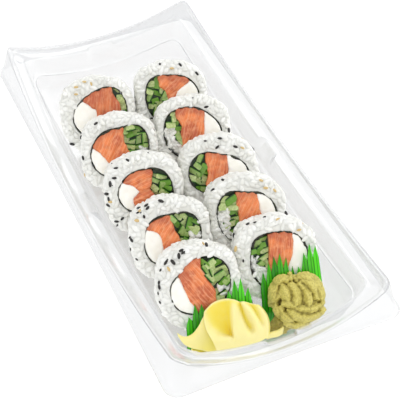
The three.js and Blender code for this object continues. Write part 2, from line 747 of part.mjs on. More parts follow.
// The folded slices under the others fill the corner between the divider, the floor and the wall.
function gingerBase() {
  const sections = 7;
  const rings = [];
  for (let k = 0; k <= sections; k += 1) {
    const s = k / sections;
    const x = -38.5 + 16 * s;
    const back = -100.9 - 0.3 * (x + 32.2) - 0.4 * (1 + Math.sin(9 * s));
    const front = Math.min(back - 1.2, -104.5 + 0.2 * Math.sin(8 * s));
    const top = 8.6 + 0.9 * Math.sin(7 * s + 1);
    const low = TRAY.sheet + GAP + 4 * smoothStep(-33, -37, x);
    rings.push([
      [x, back, low],
      [x, back - 0.4, low + (top - low) * 0.5],
      [x, back - 0.8, low + (top - low) * 0.9],
      [x, (back + front) / 2, top],
      [x, front - 0.5, low + (top - low) * 0.85],
      [x, front - 0.6, low + (top - low) * 0.5],
      [x, front + 0.3, low],
    ]);
  }
  return loftRings(rings, false);
}

// A thin slice lies along the near wall under the wasabi.
function gingerStrip() {
  const place = (s, t) => {
    const x = -4.2 + 8.2 * s;
    const y = -109.3 - 0.5 * Math.sin(Math.PI * s) - 0.5 * t;
    return [x, y, 8.4 + (4.3 + 1.2 * s) * t + 0.4 * Math.sin(6 * s)];
  };
  return thinSolid(6, 2, place, GINGER_SLICE);
}

function buildGinger() {
  const pieces = {
    ginger_hood: netSlice(HOOD, 15, 6),
    ginger_wing: netSlice(WING, 8, 4),
    ginger_base: gingerBase(),
    ginger_strip: gingerStrip(),
  };
  return Object.entries(pieces).map(([name, geometry]) => {
    const mesh = new THREE.Mesh(geometry, material(COLOURS.ginger, 0.4));
    mesh.name = name;
    return mesh;
  });
}

// ---------- whole ----------

const model = new THREE.Group();
const tray = buildTray();
tray.name = "tray";
model.add(tray);
ROLLS.forEach((roll, number) => model.add(buildRoll(roll, number)));
buildDividers().forEach((mesh) => model.add(mesh));
buildGinger().forEach((mesh) => model.add(mesh));
model.add(buildWasabi());

export default model;
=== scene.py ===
"""Looks of a clear takeaway tray of ten salmon rolls, with pickled ginger, wasabi and grass dividers.

Lengths in the classes are millimetres in the part's own frame, and become metres where a mesh is made.
"""

from __future__ import annotations

import json
import logging
import math
import random
from dataclasses import dataclass
from enum import Enum
from typing import Callable

import bmesh
import bpy
import numpy as np
from bpy.types import Material, NodeSocket, NodeTree, Object
from mathutils import Matrix, Vector, noise
from mathutils.bvhtree import BVHTree

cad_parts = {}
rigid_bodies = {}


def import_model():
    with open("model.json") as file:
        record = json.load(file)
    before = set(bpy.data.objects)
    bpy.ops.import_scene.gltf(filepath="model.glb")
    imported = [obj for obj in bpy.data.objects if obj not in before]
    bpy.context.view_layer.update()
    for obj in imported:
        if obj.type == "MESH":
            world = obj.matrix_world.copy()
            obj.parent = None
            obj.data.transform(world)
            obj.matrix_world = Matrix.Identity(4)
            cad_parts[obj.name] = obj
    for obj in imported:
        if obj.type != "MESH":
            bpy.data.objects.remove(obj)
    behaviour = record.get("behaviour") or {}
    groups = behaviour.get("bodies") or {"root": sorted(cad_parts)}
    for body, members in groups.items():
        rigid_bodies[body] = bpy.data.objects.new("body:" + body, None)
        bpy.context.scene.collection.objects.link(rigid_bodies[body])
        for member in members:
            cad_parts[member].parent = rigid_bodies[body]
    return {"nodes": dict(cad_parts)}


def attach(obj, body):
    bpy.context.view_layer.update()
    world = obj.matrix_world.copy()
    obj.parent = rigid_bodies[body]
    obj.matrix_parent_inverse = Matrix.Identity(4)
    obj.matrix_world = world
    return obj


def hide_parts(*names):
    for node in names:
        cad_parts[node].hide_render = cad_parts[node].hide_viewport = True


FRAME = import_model()
LOG = logging.getLogger("sushi_tray")
MM = 0.001
MERGE_DISTANCE = 1e-6
FULL_TURN = 2 * math.pi
PICTURE_SIDE = 400.0
# The tint attribute holds each piece's own random tone, and painted shade on the salmon, ginger, wasabi and
# divider creases.
TINT = "tint"
ALONG = "along"
FACING = "facing"
# The skin attribute holds the cucumber's real skin, painted shade on the bed behind its strips, and painted
# light on the dividers.
SKIN = "skin"
SHOWN = "shown"
SHARE = "share"
GRAIN_PLACE = "grain_place"


class Slot(Enum):
    """The record's material slots."""

    TRAY = "clear_plastic"
    RICE = "rice"
    NORI = "nori"
    SALMON = "salmon"
    CHEESE = "cream_cheese"
    CUCUMBER = "cucumber"
    GINGER = "ginger"
    WASABI = "wasabi"
    DIVIDER = "green_plastic"


# ---------- small mesh tools ----------


def smooth_step(low: float, high: float, value: np.ndarray | float) -> np.ndarray:
    """Returns 0 below low, 1 above high and a smooth rise between."""
    t = np.clip((np.asarray(value, float) - low) / (high - low), 0, 1)
    return t * t * (3 - 2 * t)


def catmull(values: np.ndarray, s: np.ndarray, closed: bool = False) -> np.ndarray:
    """A smooth curve through evenly spaced values.

    Args:
        values: the values along the first axis.
        s: places from 0 to 1, one for each wanted value.
        closed: True if the last value joins the first.

    Returns:
        The values at s, along the first axis.
    """
    values = np.asarray(values, float)
    count = len(values)
    spans = count if closed else count - 1
    place = np.asarray(s, float) * spans
    k = np.minimum(np.floor(place).astype(int), spans - 1)
    near = [k + step for step in (-1, 0, 1, 2)]
    near = [n % count if closed else np.clip(n, 0, count - 1) for n in near]
    a, b, c, d = (values[n] for n in near)
    t = (place - k).reshape((-1,) + (1,) * (values.ndim - 1))
    ends = (2 * t**3 - 3 * t**2 + 1) * b + (3 * t**2 - 2 * t**3) * c
    return ends + (t**3 - 2 * t**2 + t) * (c - a) / 2 + (t**3 - t**2) * (d - b) / 2


def waver(points: np.ndarray, size: float, seed: float = 0.0) -> np.ndarray:
    """Smooth noise from about -1 to 1 at each point, with lumps of the given size."""
    shift = Vector((seed * 3.1, seed * 7.7, seed * 1.3))
    return np.array([noise.noise(Vector(p) / size + shift) for p in points.reshape(-1, 3)])


def linked(name: str, data: bpy.types.ID) -> Object:
    """A new object of the scene that holds the given data."""
    made = bpy.data.objects.new(name, data)
    bpy.context.scene.collection.objects.link(made)
    return made


def merge_doubles(mesh: bpy.types.Mesh, outwards: bool) -> None:
    """Merges corners that share a place and, if asked, turns all faces outwards."""
    shell = bmesh.new()
    shell.from_mesh(mesh)
    bmesh.ops.remove_doubles(shell, verts=shell.verts, dist=MERGE_DISTANCE)
    if outwards:
        bmesh.ops.recalc_face_normals(shell, faces=shell.faces)
    shell.to_mesh(mesh)
    shell.free()


def mesh_object(name: str, points: np.ndarray, faces: list, mend: bool = True) -> Object:
    """Makes a smooth mesh object at the origin.

    Args:
        name: the object's name.
        points: corner places in millimetres.
        faces: lists of corner numbers.
        mend: True to merge doubles and turn all faces outwards.

    Returns:
        The linked object.
    """
    mesh = bpy.data.meshes.new(name)
    mesh.from_pydata((np.asarray(points, float).reshape(-1, 3) * MM).tolist(), [], faces)
    if mend:
        merge_doubles(mesh, outwards=True)
    mesh.shade_smooth()
    return linked(name, mesh)


def polar(reach: np.ndarray, angle: np.ndarray, level: np.ndarray | float) -> np.ndarray:
    """The points at a reach and an angle round an axis, and at a level along it."""
    return np.stack([reach * np.cos(angle), reach * np.sin(angle), np.broadcast_to(level, angle.shape)], 1)


def loft_faces(rings: int, count: int, wrap: bool) -> list:
    """Faces between rings of equal count, each ring closed round; wrap joins the last ring to the first."""
    faces = []
    for j in range(rings if wrap else rings - 1):
        low, high = j * count, ((j + 1) % rings) * count
        for i in range(count):
            k = (i + 1) % count
            faces.append((low + i, low + k, high + k, high + i))
    return faces


def lofted(name: str, rings: np.ndarray, wrap: bool = False) -> Object:
    """A closed body through rings, capped at both ends unless the rings wrap round."""
    rings = np.asarray(rings, float)
    number, count = rings.shape[:2]
    faces = loft_faces(number, count, wrap)
    points = rings.reshape(-1, 3)
    if not wrap:
        start = len(points)
        points = np.vstack([points, rings[0].mean(0), rings[-1].mean(0)])
        top = (number - 1) * count
        faces += [(start, (i + 1) % count, i) for i in range(count)]
        faces += [(start + 1, top + i, top + (i + 1) % count) for i in range(count)]
    return mesh_object(name, points, faces)


def grid_normals(grid: np.ndarray) -> np.ndarray:
    """Unit normals of a net of points with rows first and columns second."""
    across = np.gradient(grid, axis=0)
    along = np.gradient(grid, axis=1)
    normals = np.cross(along, across)
    return normals / np.maximum(np.linalg.norm(normals, axis=2, keepdims=True), 1e-9)


def thin_solid(name: str, grid: np.ndarray, thickness: np.ndarray | float) -> Object:
    """A closed thin body on both sides of a net of points.

    Args:
        name: the object's name.
        grid: the net, rows by columns by three.
        thickness: one number, or one for each point of the net.

    Returns:
        The object.
    """
    rows, columns = grid.shape[:2]
    half = np.broadcast_to(thickness, (rows, columns))[..., None] / 2 * grid_normals(grid)
    points = np.vstack([(grid + half).reshape(-1, 3), (grid - half).reshape(-1, 3)])
    back = rows * columns
    number = np.arange(back).reshape(rows, columns)
    faces = []
    for j in range(rows - 1):
        for i in range(columns - 1):
            quad = (number[j, i], number[j, i + 1], number[j + 1, i + 1], number[j + 1, i])
            faces.append(tuple(int(n) for n in quad))
            faces.append(tuple(int(n) + back for n in reversed(quad)))
    edge = np.concatenate([number[0, :-1], number[:-1, -1], number[-1, :0:-1], number[:0:-1, 0]])
    for a, b in zip(edge.tolist(), np.roll(edge, -1).tolist()):
        faces.append((a, a + back, b + back, b))
    return mesh_object(name, points, faces)


def corner_vectors(piece: Object, key: str) -> np.ndarray:
    """One vector of each corner of the piece, by its key."""
    values = np.empty(len(piece.data.vertices) * 3, np.float32)
    piece.data.vertices.foreach_get(key, values)
    return values.reshape(-1, 3).astype(float)


def corners(piece: Object) -> np.ndarray:
    """The piece's corner places in millimetres."""
    return corner_vectors(piece, "co") / MM


def move_corners(piece: Object, points: np.ndarray) -> None:
    """Puts the piece's corners at new places in millimetres."""
    piece.data.vertices.foreach_set("co", (points * MM).astype(np.float32).ravel())
    piece.data.update()


def lift(piece: Object, distance: np.ndarray | float) -> None:
    """Moves a piece's corners outwards, by one distance or by one for each corner, in millimetres."""
    far = np.broadcast_to(distance, len(piece.data.vertices))
    move_corners(piece, corners(piece) + corner_vectors(piece, "normal") * far[:, None])


def roughen(piece: Object, size: float, depth: float, seed: float = 0.0) -> None:
    """Pushes a piece's corners in and out with lumps of a size and depth in millimetres."""
    lift(piece, depth * waver(corners(piece), size, seed))


def mark(piece: Object, name: str, values: np.ndarray) -> None:
    """Stores a value or a vector for each corner of a piece."""
    kind = "FLOAT" if values.ndim == 1 else "FLOAT_VECTOR"
    layer = piece.data.attributes.new(name, kind, "POINT")
    layer.data.foreach_set("value" if values.ndim == 1 else "vector", values.astype(np.float32).ravel())


def hollowness(piece: Object, rounds: int) -> np.ndarray:
    """How far each corner lies below its surroundings, in millimetres; more rounds look further about."""
    points, normals = corners(piece), corner_vectors(piece, "normal")
    pairs = np.empty(len(piece.data.edges) * 2, np.int32)
    piece.data.edges.foreach_get("vertices", pairs)
    a, b = pairs.reshape(-1, 2).T
    count = np.bincount(np.concatenate([a, b]), minlength=len(points))[:, None]
    evened = points.copy()
    for _ in range(rounds):
        total = np.zeros_like(points)
        np.add.at(total, a, evened[b])
        np.add.at(total, b, evened[a])
        evened = (evened + total / np.maximum(count, 1)) / 2
    return ((evened - points) * normals).sum(1)


def settle(piece: Object) -> Object:
    """Turns a piece with modifiers into a plain smooth mesh."""
    bpy.context.view_layer.update()
    seen = piece.evaluated_get(bpy.context.evaluated_depsgraph_get())
    made = bpy.data.meshes.new_from_object(seen)
    old = piece.data
    piece.modifiers.clear()
    piece.data = made
    bpy.data.meshes.remove(old)
    made.name = piece.name
    made.shade_smooth()
    return piece


def even_out(piece: Object, voxel: float, rounds: int) -> Object:
    """Gives a piece even faces of one size, and relaxes its corners some rounds, which rounds its edges."""
    remesh = piece.modifiers.new("even", "REMESH")
    remesh.mode = "VOXEL"
    remesh.voxel_size = voxel * MM
    relax = piece.modifiers.new("relax", "SMOOTH")
    relax.factor = 0.5
    relax.iterations = rounds
    return settle(piece)


def softened(node: str, name: str, voxel: float, rounds: int) -> Object:
    """A merged copy of a CAD node under a new name, with even faces and rounded edges."""
    mesh = FRAME["nodes"][node].data.copy()
    mesh.materials.clear()
    merge_doubles(mesh, outwards=False)
    return even_out(linked(name, mesh), voxel, rounds)


def hand_over(piece: Object, slot: Slot, finish: Material | None, *nodes: str) -> None:
    """Dresses a finished piece, hides the CAD nodes that it stands for and lets it ride on the tray.

    Args:
        piece: the finished object.
        slot: the record's slot that it takes its finish from; not used.
        finish: its material, or None if it already has one.
        nodes: the CAD nodes that it stands for.
    """
    if finish is not None:
        piece.data.materials.clear()
        piece.data.materials.append(finish)
    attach(piece, "root")
    if nodes:
        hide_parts(*nodes)
    LOG.info("%s: %d faces", piece.name, len(piece.data.polygons))


# ---------- node trees ----------


class Wiring:
    """Short calls for adding and joining the nodes of one tree."""

    def __init__(self, tree: NodeTree) -> None:
        """Keeps the tree."""
        self.tree = tree

    def feed(self, socket: NodeSocket, value: object) -> None:
        """Links a socket to another, or sets its plain value."""
        if isinstance(value, NodeSocket):
            self.tree.links.new(value, socket)
        else:
            socket.default_value = value

    def add(self, kind: str, inputs: dict | None = None, **settings: object) -> bpy.types.Node:
        """Adds a node.

        Args:
            kind: the node's type name.
            inputs: input name or number to a value or an output socket.
            settings: the node's own properties.

        Returns:
            The node.
        """
        node = self.tree.nodes.new(kind)
        for name, value in settings.items():
            setattr(node, name, value)
        for key, value in (inputs or {}).items():
            self.feed(node.inputs[key], value)
        return node

    def math(self, operation: str, a: object, b: object = 0.0) -> NodeSocket:
        """One sum of two values."""
        return self.add("ShaderNodeMath", {0: a, 1: b}, operation=operation).outputs[0]

    def blend(self, share: object, a: object, b: object) -> NodeSocket:
        """A colour between a and b."""
        return self.add("ShaderNodeMix", {0: share, 6: a, 7: b}, data_type="RGBA").outputs[2]

    def spread(self, value: object, low: object, high: object) -> NodeSocket:
        """Maps low to high onto 0 to 1."""
        return self.add("ShaderNodeMapRange", {0: value, 1: low, 2: high}).outputs[0]

    def scaled(self, vector: object, factor: object) -> NodeSocket:
        """A vector times a number."""
        return self.add("ShaderNodeVectorMath", {0: vector, "Scale": factor}, operation="SCALE").outputs[0]

    def mix(self, share: object, a: object, b: object) -> NodeSocket:
        """A surface between the shaders a and b."""
        return self.add("ShaderNodeMixShader", {0: share, 1: a, 2: b}).outputs[0]

    def stored(self, name: str, kind: str) -> NodeSocket:
        """Reads what the points of a geometry store under a name."""
        return self.add("GeometryNodeInputNamedAttribute", {"Name": name}, data_type=kind).outputs[0]

    def tinted(self, geometry: object, tint: object, domain: str) -> NodeSocket:
        """A geometry that stores a tint."""
        values = {"Geometry": geometry, "Name": TINT, "Value": tint}
        node = self.add("GeometryNodeStoreNamedAttribute", values, data_type="FLOAT", domain=domain)
        return node.outputs[0]

    def chance(self, low: object, high: object, seed: object) -> NodeSocket:
        """A random vector between low and high for each point."""
        values = {0: low, 1: high, "Seed": seed}
        return self.add("FunctionNodeRandomValue", values, data_type="FLOAT_VECTOR").outputs[0]


def paint(red: float, green: float, blue: float) -> tuple:
    """A colour given as screen values from 0 to 255, for a colour socket."""

    def linear(value: float) -> float:
        """One channel as light."""
        share = value / 255
        return share / 12.92 if share <= 0.04045 else ((share + 0.055) / 1.055) ** 2.4

    return (linear(red), linear(green), linear(blue), 1.0)


def start_group(name: str, kind: str, inputs: dict, output: tuple) -> tuple:
    """Starts a node group with named sockets.

    Args:
        name: the group's name.
        kind: ShaderNodeTree or GeometryNodeTree.
        inputs: socket name to its type and its default, or None for no default.
        output: the name and the type of the one socket that the group hands out.

    Returns:
        The wiring of the group, and the sockets that it is given.
    """
    tree = bpy.data.node_groups.new(name, kind)
    for socket_name, (socket_type, default) in inputs.items():
        socket = tree.interface.new_socket(socket_name, in_out="INPUT", socket_type=socket_type)
        if default is not None:
            socket.default_value = default
    tree.interface.new_socket(output[0], in_out="OUTPUT", socket_type=output[1])
    wiring = Wiring(tree)
    return wiring, wiring.add("NodeGroupInput").outputs


class Effects:
    """The shader groups that several finishes share."""

    # The wave node's scale at which its bands are one millimetre apart.
    BAND_SCALE = 0.314

    def __init__(self) -> None:
        """Builds each group once."""
        self.mottle = self._mottle()
        self.relief = self._relief()
        self.streaks = self._streaks()

    @staticmethod
    def _start(name: str, output: tuple, **defaults: float | None) -> tuple:
        """Starts a shader group whose inputs are numbers with these defaults, or a place if None."""
        inputs = {}
        for key, default in defaults.items():
            inputs[key] = ("NodeSocketVector" if default is None else "NodeSocketFloat", default)
        return start_group(name, "ShaderNodeTree", inputs, output)

    @staticmethod
    def _cloud(wiring: Wiring, given: bpy.types.bpy_prop_collection) -> NodeSocket:
        """Noise with lumps of the given size in millimetres and the given detail."""
        place = wiring.scaled(wiring.add("ShaderNodeTexCoord").outputs["Object"], 1 / MM)
        scale = wiring.math("DIVIDE", 1.0, given["Size"])
        values = {"Vector": place, "Scale": scale, "Detail": given["Detail"]}
        return wiring.add("ShaderNodeTexNoise", values).outputs[0]

    def _mottle(self) -> NodeTree:
        """A soft blotchy mask. Size is that of the blotches, and Low and High cut the noise."""
        mask = ("Mask", "NodeSocketFloat")
        wiring, given = self._start("Mottle", mask, Size=3.0, Low=0.4, High=0.6, Detail=2.0)
        cut = wiring.spread(self._cloud(wiring, given), given["Low"], given["High"])
        wiring.add("NodeGroupOutput", {"Mask": cut})
        return wiring.tree

    def _relief(self) -> NodeTree:
        """A fine uneven surface. Size and Depth are in millimetres."""
        normal = ("Normal", "NodeSocketVector")
        wiring, given = self._start("Fine relief", normal, Size=1.0, Depth=0.1, Detail=3.0)
        height = wiring.math("MULTIPLY", self._cloud(wiring, given), given["Depth"])
        bump = wiring.add("ShaderNodeBump", {"Strength": 1.0, "Distance": MM, "Height": height})
        wiring.add("NodeGroupOutput", {"Normal": bump.outputs[0]})
        return wiring.tree

    def _streaks(self) -> NodeTree:
        """Wavering lines across the X axis of a given place. Pitch is their distance in millimetres."""
        mask = ("Mask", "NodeSocketFloat")
        wiring, given = self._start("Streaks", mask, Place=None, Pitch=2.0, Waver=2.0, Low=0.6, High=0.9)
        values = {
            "Vector": given["Place"],
            "Scale": wiring.math("DIVIDE", self.BAND_SCALE, given["Pitch"]),
            "Distortion": given["Waver"],
            "Detail": 3.0,
            "Detail Scale": 1.2,
        }
        wave = wiring.add("ShaderNodeTexWave", values, wave_type="BANDS", bands_direction="X").outputs["Fac"]
        wiring.add("NodeGroupOutput", {"Mask": wiring.spread(wave, given["Low"], given["High"])})
        return wiring.tree


class Finish:
    """A material with one Principled shader, whose colour and normal come from shared effects."""

    effects: Effects

    def __init__(self, name: str) -> None:
        """Starts the material.

        Args:
            name: the material's name.
        """
        self.material = bpy.data.materials.new(name)
        self.material.use_nodes = True
        self.material.node_tree.nodes.clear()
        self.wiring = Wiring(self.material.node_tree)
        self.shader = self.wiring.add("ShaderNodeBsdfPrincipled")
        self.output = self.wiring.add("ShaderNodeOutputMaterial", {"Surface": self.shader.outputs[0]})

    def set(self, **values: object) -> None:
        """Sets the shader's sockets; an underscore in a name stands for a space."""
        for name, value in values.items():
            self.wiring.feed(self.shader.inputs[name.replace("_", " ")], value)

    def mottle(self, size: float, low: float, high: float) -> NodeSocket:
        """A blotchy mask."""
        return self._group(Finish.effects.mottle, {"Size": size, "Low": low, "High": high})

    def streaks(self, pitch: float, wavering: float, low: float, high: float) -> NodeSocket:
        """A mask of wavering lines across the grain that is stored on the mesh."""
        values = {"Place": self.attribute(GRAIN_PLACE, "Vector"), "Pitch": pitch, "Waver": wavering}
        return self._group(Finish.effects.streaks, values | {"Low": low, "High": high})

    def relief(self, size: float, depth: float, detail: float = 3.0) -> None:
        """Gives the shader a fine uneven surface."""
        values = {"Size": size, "Depth": depth, "Detail": detail}
        self.set(Normal=self._group(Finish.effects.relief, values))

    def attribute(self, name: str, output: str = "Fac") -> NodeSocket:
        """Reads a value stored on the mesh."""
        node = self.wiring.add("ShaderNodeAttribute", attribute_name=name, attribute_type="GEOMETRY")
        return node.outputs[output]

    def tinge(self, colour: object, mask: object, weight: float, shade: tuple) -> NodeSocket:
        """A colour that takes on some of a shade where the mask is."""
        return self.wiring.blend(self.wiring.math("MULTIPLY", mask, weight), colour, shade)

    def soft(self, weight: float, radius: tuple, scale: float) -> None:
        """Lets light spread under the surface, by a radius for each colour and a scale in millimetres."""
        self.set(Subsurface_Weight=weight, Subsurface_Radius=radius, Subsurface_Scale=scale * MM)

    def _group(self, tree: NodeTree, values: dict) -> NodeSocket:
        """Places a shared group and returns its output."""
        node = self.wiring.add("ShaderNodeGroup", node_tree=tree)
        for name, value in values.items():
            self.wiring.feed(node.inputs[name], value)
        return node.outputs[0]


def clear_plastic() -> Material:
    """Thin clear sheet plastic: a faint milky film that mirrors lamps and greys where it is seen edge on."""
    made = Finish("clear tray plastic")
    wiring = made.wiring
    made.set(Base_Color=paint(230, 231, 233), Roughness=0.2, IOR=1.5)
    made.relief(9.0, 0.05, 1.0)
    facing = wiring.add("ShaderNodeLayerWeight", {"Blend": 0.5}).outputs["Facing"]
    edge_on = wiring.math("POWER", facing, 4.0)
    tone = wiring.blend(edge_on, (0.938, 0.94, 0.941, 1.0), (0.7, 0.705, 0.71, 1.0))
    film = wiring.add("ShaderNodeBsdfTransparent", {"Color": tone}).outputs[0]
    mirror = wiring.add("ShaderNodeBsdfGlossy", {"Color": (1, 1, 1, 1), "Roughness": 0.18}).outputs[0]
    fresnel = wiring.math("MULTIPLY", wiring.add("ShaderNodeFresnel", {"IOR": 1.4}).outputs[0], 0.5)
    milky = wiring.mix(0.25, wiring.mix(fresnel, film, mirror), made.shader.outputs[0])
    seen = wiring.add("ShaderNodeLightPath").outputs["Is Camera Ray"]
    passed = wiring.add("ShaderNodeBsdfTransparent", {"Color": (0.985, 0.985, 0.985, 1.0)}).outputs[0]
    wiring.feed(made.output.inputs["Surface"], wiring.mix(seen, passed, milky))
    return made.material


def rice() -> Material:
    """Cooked rice: white, a little see-through and moist, each grain of its own tint."""
    made = Finish("cooked rice")
    colour = made.wiring.blend(made.attribute(TINT), paint(223, 223, 215), paint(245, 245, 240))
    made.set(Base_Color=colour, Roughness=0.4, IOR=1.4)
    made.soft(0.3, (1.0, 0.97, 0.9), 1.5)
    made.relief(0.9, 0.04)
    return made.material


def nori() -> Material:
    """Roasted seaweed: almost black, green where it thins, with a fibrous surface."""
    made = Finish("roasted nori")
    colour = made.wiring.blend(made.mottle(1.4, 0.42, 0.62), paint(26, 24, 16), paint(52, 56, 30))
    made.set(Base_Color=colour, Roughness=0.5)
    made.relief(0.35, 0.12)
    return made.material


def salmon() -> Material:
    """Raw salmon: soft orange pink with fine paler grain across the flesh, browned by painted shade beside
    the nori.
    """
    made = Finish("raw salmon")
    flesh = made.wiring.blend(made.mottle(6.0, 0.4, 0.6), paint(190, 92, 56), paint(232, 132, 76))
    fine, fat = made.streaks(0.8, 3.0, 0.35, 1.0), made.streaks(3.8, 6.0, 0.86, 1.0)
    pale, fleck = made.mottle(2.2, 0.52, 0.68), made.mottle(0.55, 0.55, 0.7)
    flesh = made.tinge(flesh, fine, 0.22, paint(238, 158, 112))
    flesh = made.tinge(flesh, fat, 0.3, paint(248, 190, 148))
    flesh = made.tinge(flesh, pale, 0.4, paint(244, 174, 126))
    flesh = made.tinge(flesh, fleck, 0.4, paint(192, 84, 52))
    flesh = made.tinge(flesh, made.streaks(1.7, 1.5, 0.9, 1.0), 0.35, paint(250, 190, 148))
    # Painted shade: the stored mask browns the flesh beside the nori, and all over where a roll's inside is
    # shaded.
    flesh = made.tinge(flesh, made.attribute(TINT), 0.6, paint(168, 88, 62))
    made.set(Base_Color=flesh, Roughness=0.34, IOR=1.4)
    made.soft(0.08, (1.0, 0.45, 0.25), 0.8)
    made.relief(0.8, 0.14)
    return made.material


def cream_cheese() -> Material:
    """Cream cheese: warm white and dull, with faint smears."""
    made = Finish("cream cheese")
    colour = made.wiring.blend(made.mottle(4.0, 0.3, 0.7), paint(242, 239, 229), paint(250, 248, 241))
    made.set(Base_Color=colour, Roughness=0.45)
    made.soft(0.25, (1.0, 0.95, 0.8), 1.2)
    made.relief(1.6, 0.14)
    return made.material


def cucumber() -> Material:
    """Cucumber: wet flesh from pale to mid green by the stick's own tint, dark green at the skin, and the
    same dark green as painted shade on the bed behind the strips.
    """
    made = Finish("cut cucumber")
    wiring = made.wiring
    skin = made.attribute(SKIN)
    flesh = wiring.blend(made.attribute(TINT), paint(196, 208, 146), paint(98, 150, 44))
    flesh = made.tinge(flesh, made.mottle(0.9, 0.4, 0.62), 0.5, paint(128, 156, 78))
    # The skin attribute is the real skin on the strips, and painted shade on the bed behind them.
    green = wiring.blend(wiring.spread(skin, 0.05, 0.35), flesh, paint(74, 138, 30))
    green = wiring.blend(wiring.spread(skin, 0.35, 0.7), green, paint(22, 54, 14))
    made.set(Base_Color=green, Roughness=0.25, IOR=1.4)
    made.soft(0.15, (0.7, 1.0, 0.4), 1.0)
    made.relief(0.5, 0.12)
    return made.material


def ginger() -> Material:
    """Pickled ginger: thin pale yellow slices, wet, with painted shade in their hollows as a deeper yellow.
    """
    made = Finish("pickled ginger")
    wiring = made.wiring
    deep = made.attribute(TINT)
    # Painted shade: the stored mask turns the hollows a deeper yellow.
    colour = wiring.blend(wiring.spread(deep, 0.0, 0.55), paint(241, 229, 160), paint(240, 224, 108))
    colour = wiring.blend(wiring.spread(deep, 0.55, 1.0), colour, paint(240, 216, 74))
    colour = made.tinge(colour, made.mottle(5.0, 0.45, 0.75), 0.3, paint(238, 224, 138))
    made.set(Base_Color=colour, Roughness=0.3, IOR=1.42)
    made.soft(0.3, (1.0, 0.93, 0.5), 1.6)
    made.relief(0.9, 0.05)
    return made.material


def wasabi() -> Material:
    """Wasabi paste: dull yellow green, grainy, with painted shade in its folds."""
    made = Finish("wasabi paste")
    # Painted shade: the stored mask darkens the folds to olive.
    colour = made.wiring.blend(made.attribute(TINT), paint(212, 200, 106), paint(118, 104, 34))
    colour = made.tinge(colour, made.mottle(0.9, 0.45, 0.65), 0.55, paint(158, 144, 56))
    made.set(Base_Color=colour, Roughness=0.5)
    made.relief(0.6, 0.45)
    return made.material


def grass_plastic() -> Material:
    """Thin green film: light comes through it, glossy, with painted shade along its creases and painted light
    towards its top and right end over a random tone for each blade.
    """
    made = Finish("grass divider film")
    wiring = made.wiring
    # Painted light: the skin attribute lightens the green up the film and towards its right end, over a tone
    # for each blade; painted shade darkens its creases.
    colour = wiring.blend(made.attribute(SKIN), paint(32, 164, 16), paint(116, 248, 52))
    colour = wiring.blend(made.attribute(TINT), colour, paint(8, 84, 8))
    made.set(Base_Color=colour, Roughness=0.25)
    glow = wiring.add("ShaderNodeBsdfTranslucent", {"Color": colour}).outputs[0]
    wiring.feed(made.output.inputs["Surface"], wiring.mix(0.5, made.shader.outputs[0], glow))
    return made.material


def seed_coat() -> Material:
    """Sesame hulls: black or toasted by the seed's own tint."""
    made = Finish("sesame hull")
    colour = made.wiring.blend(made.attribute(TINT), paint(34, 31, 28), paint(208, 180, 124))
    made.set(Base_Color=colour, Roughness=0.45)
    made.relief(0.3, 0.05)
    return made.material


# ---------- scattering ----------


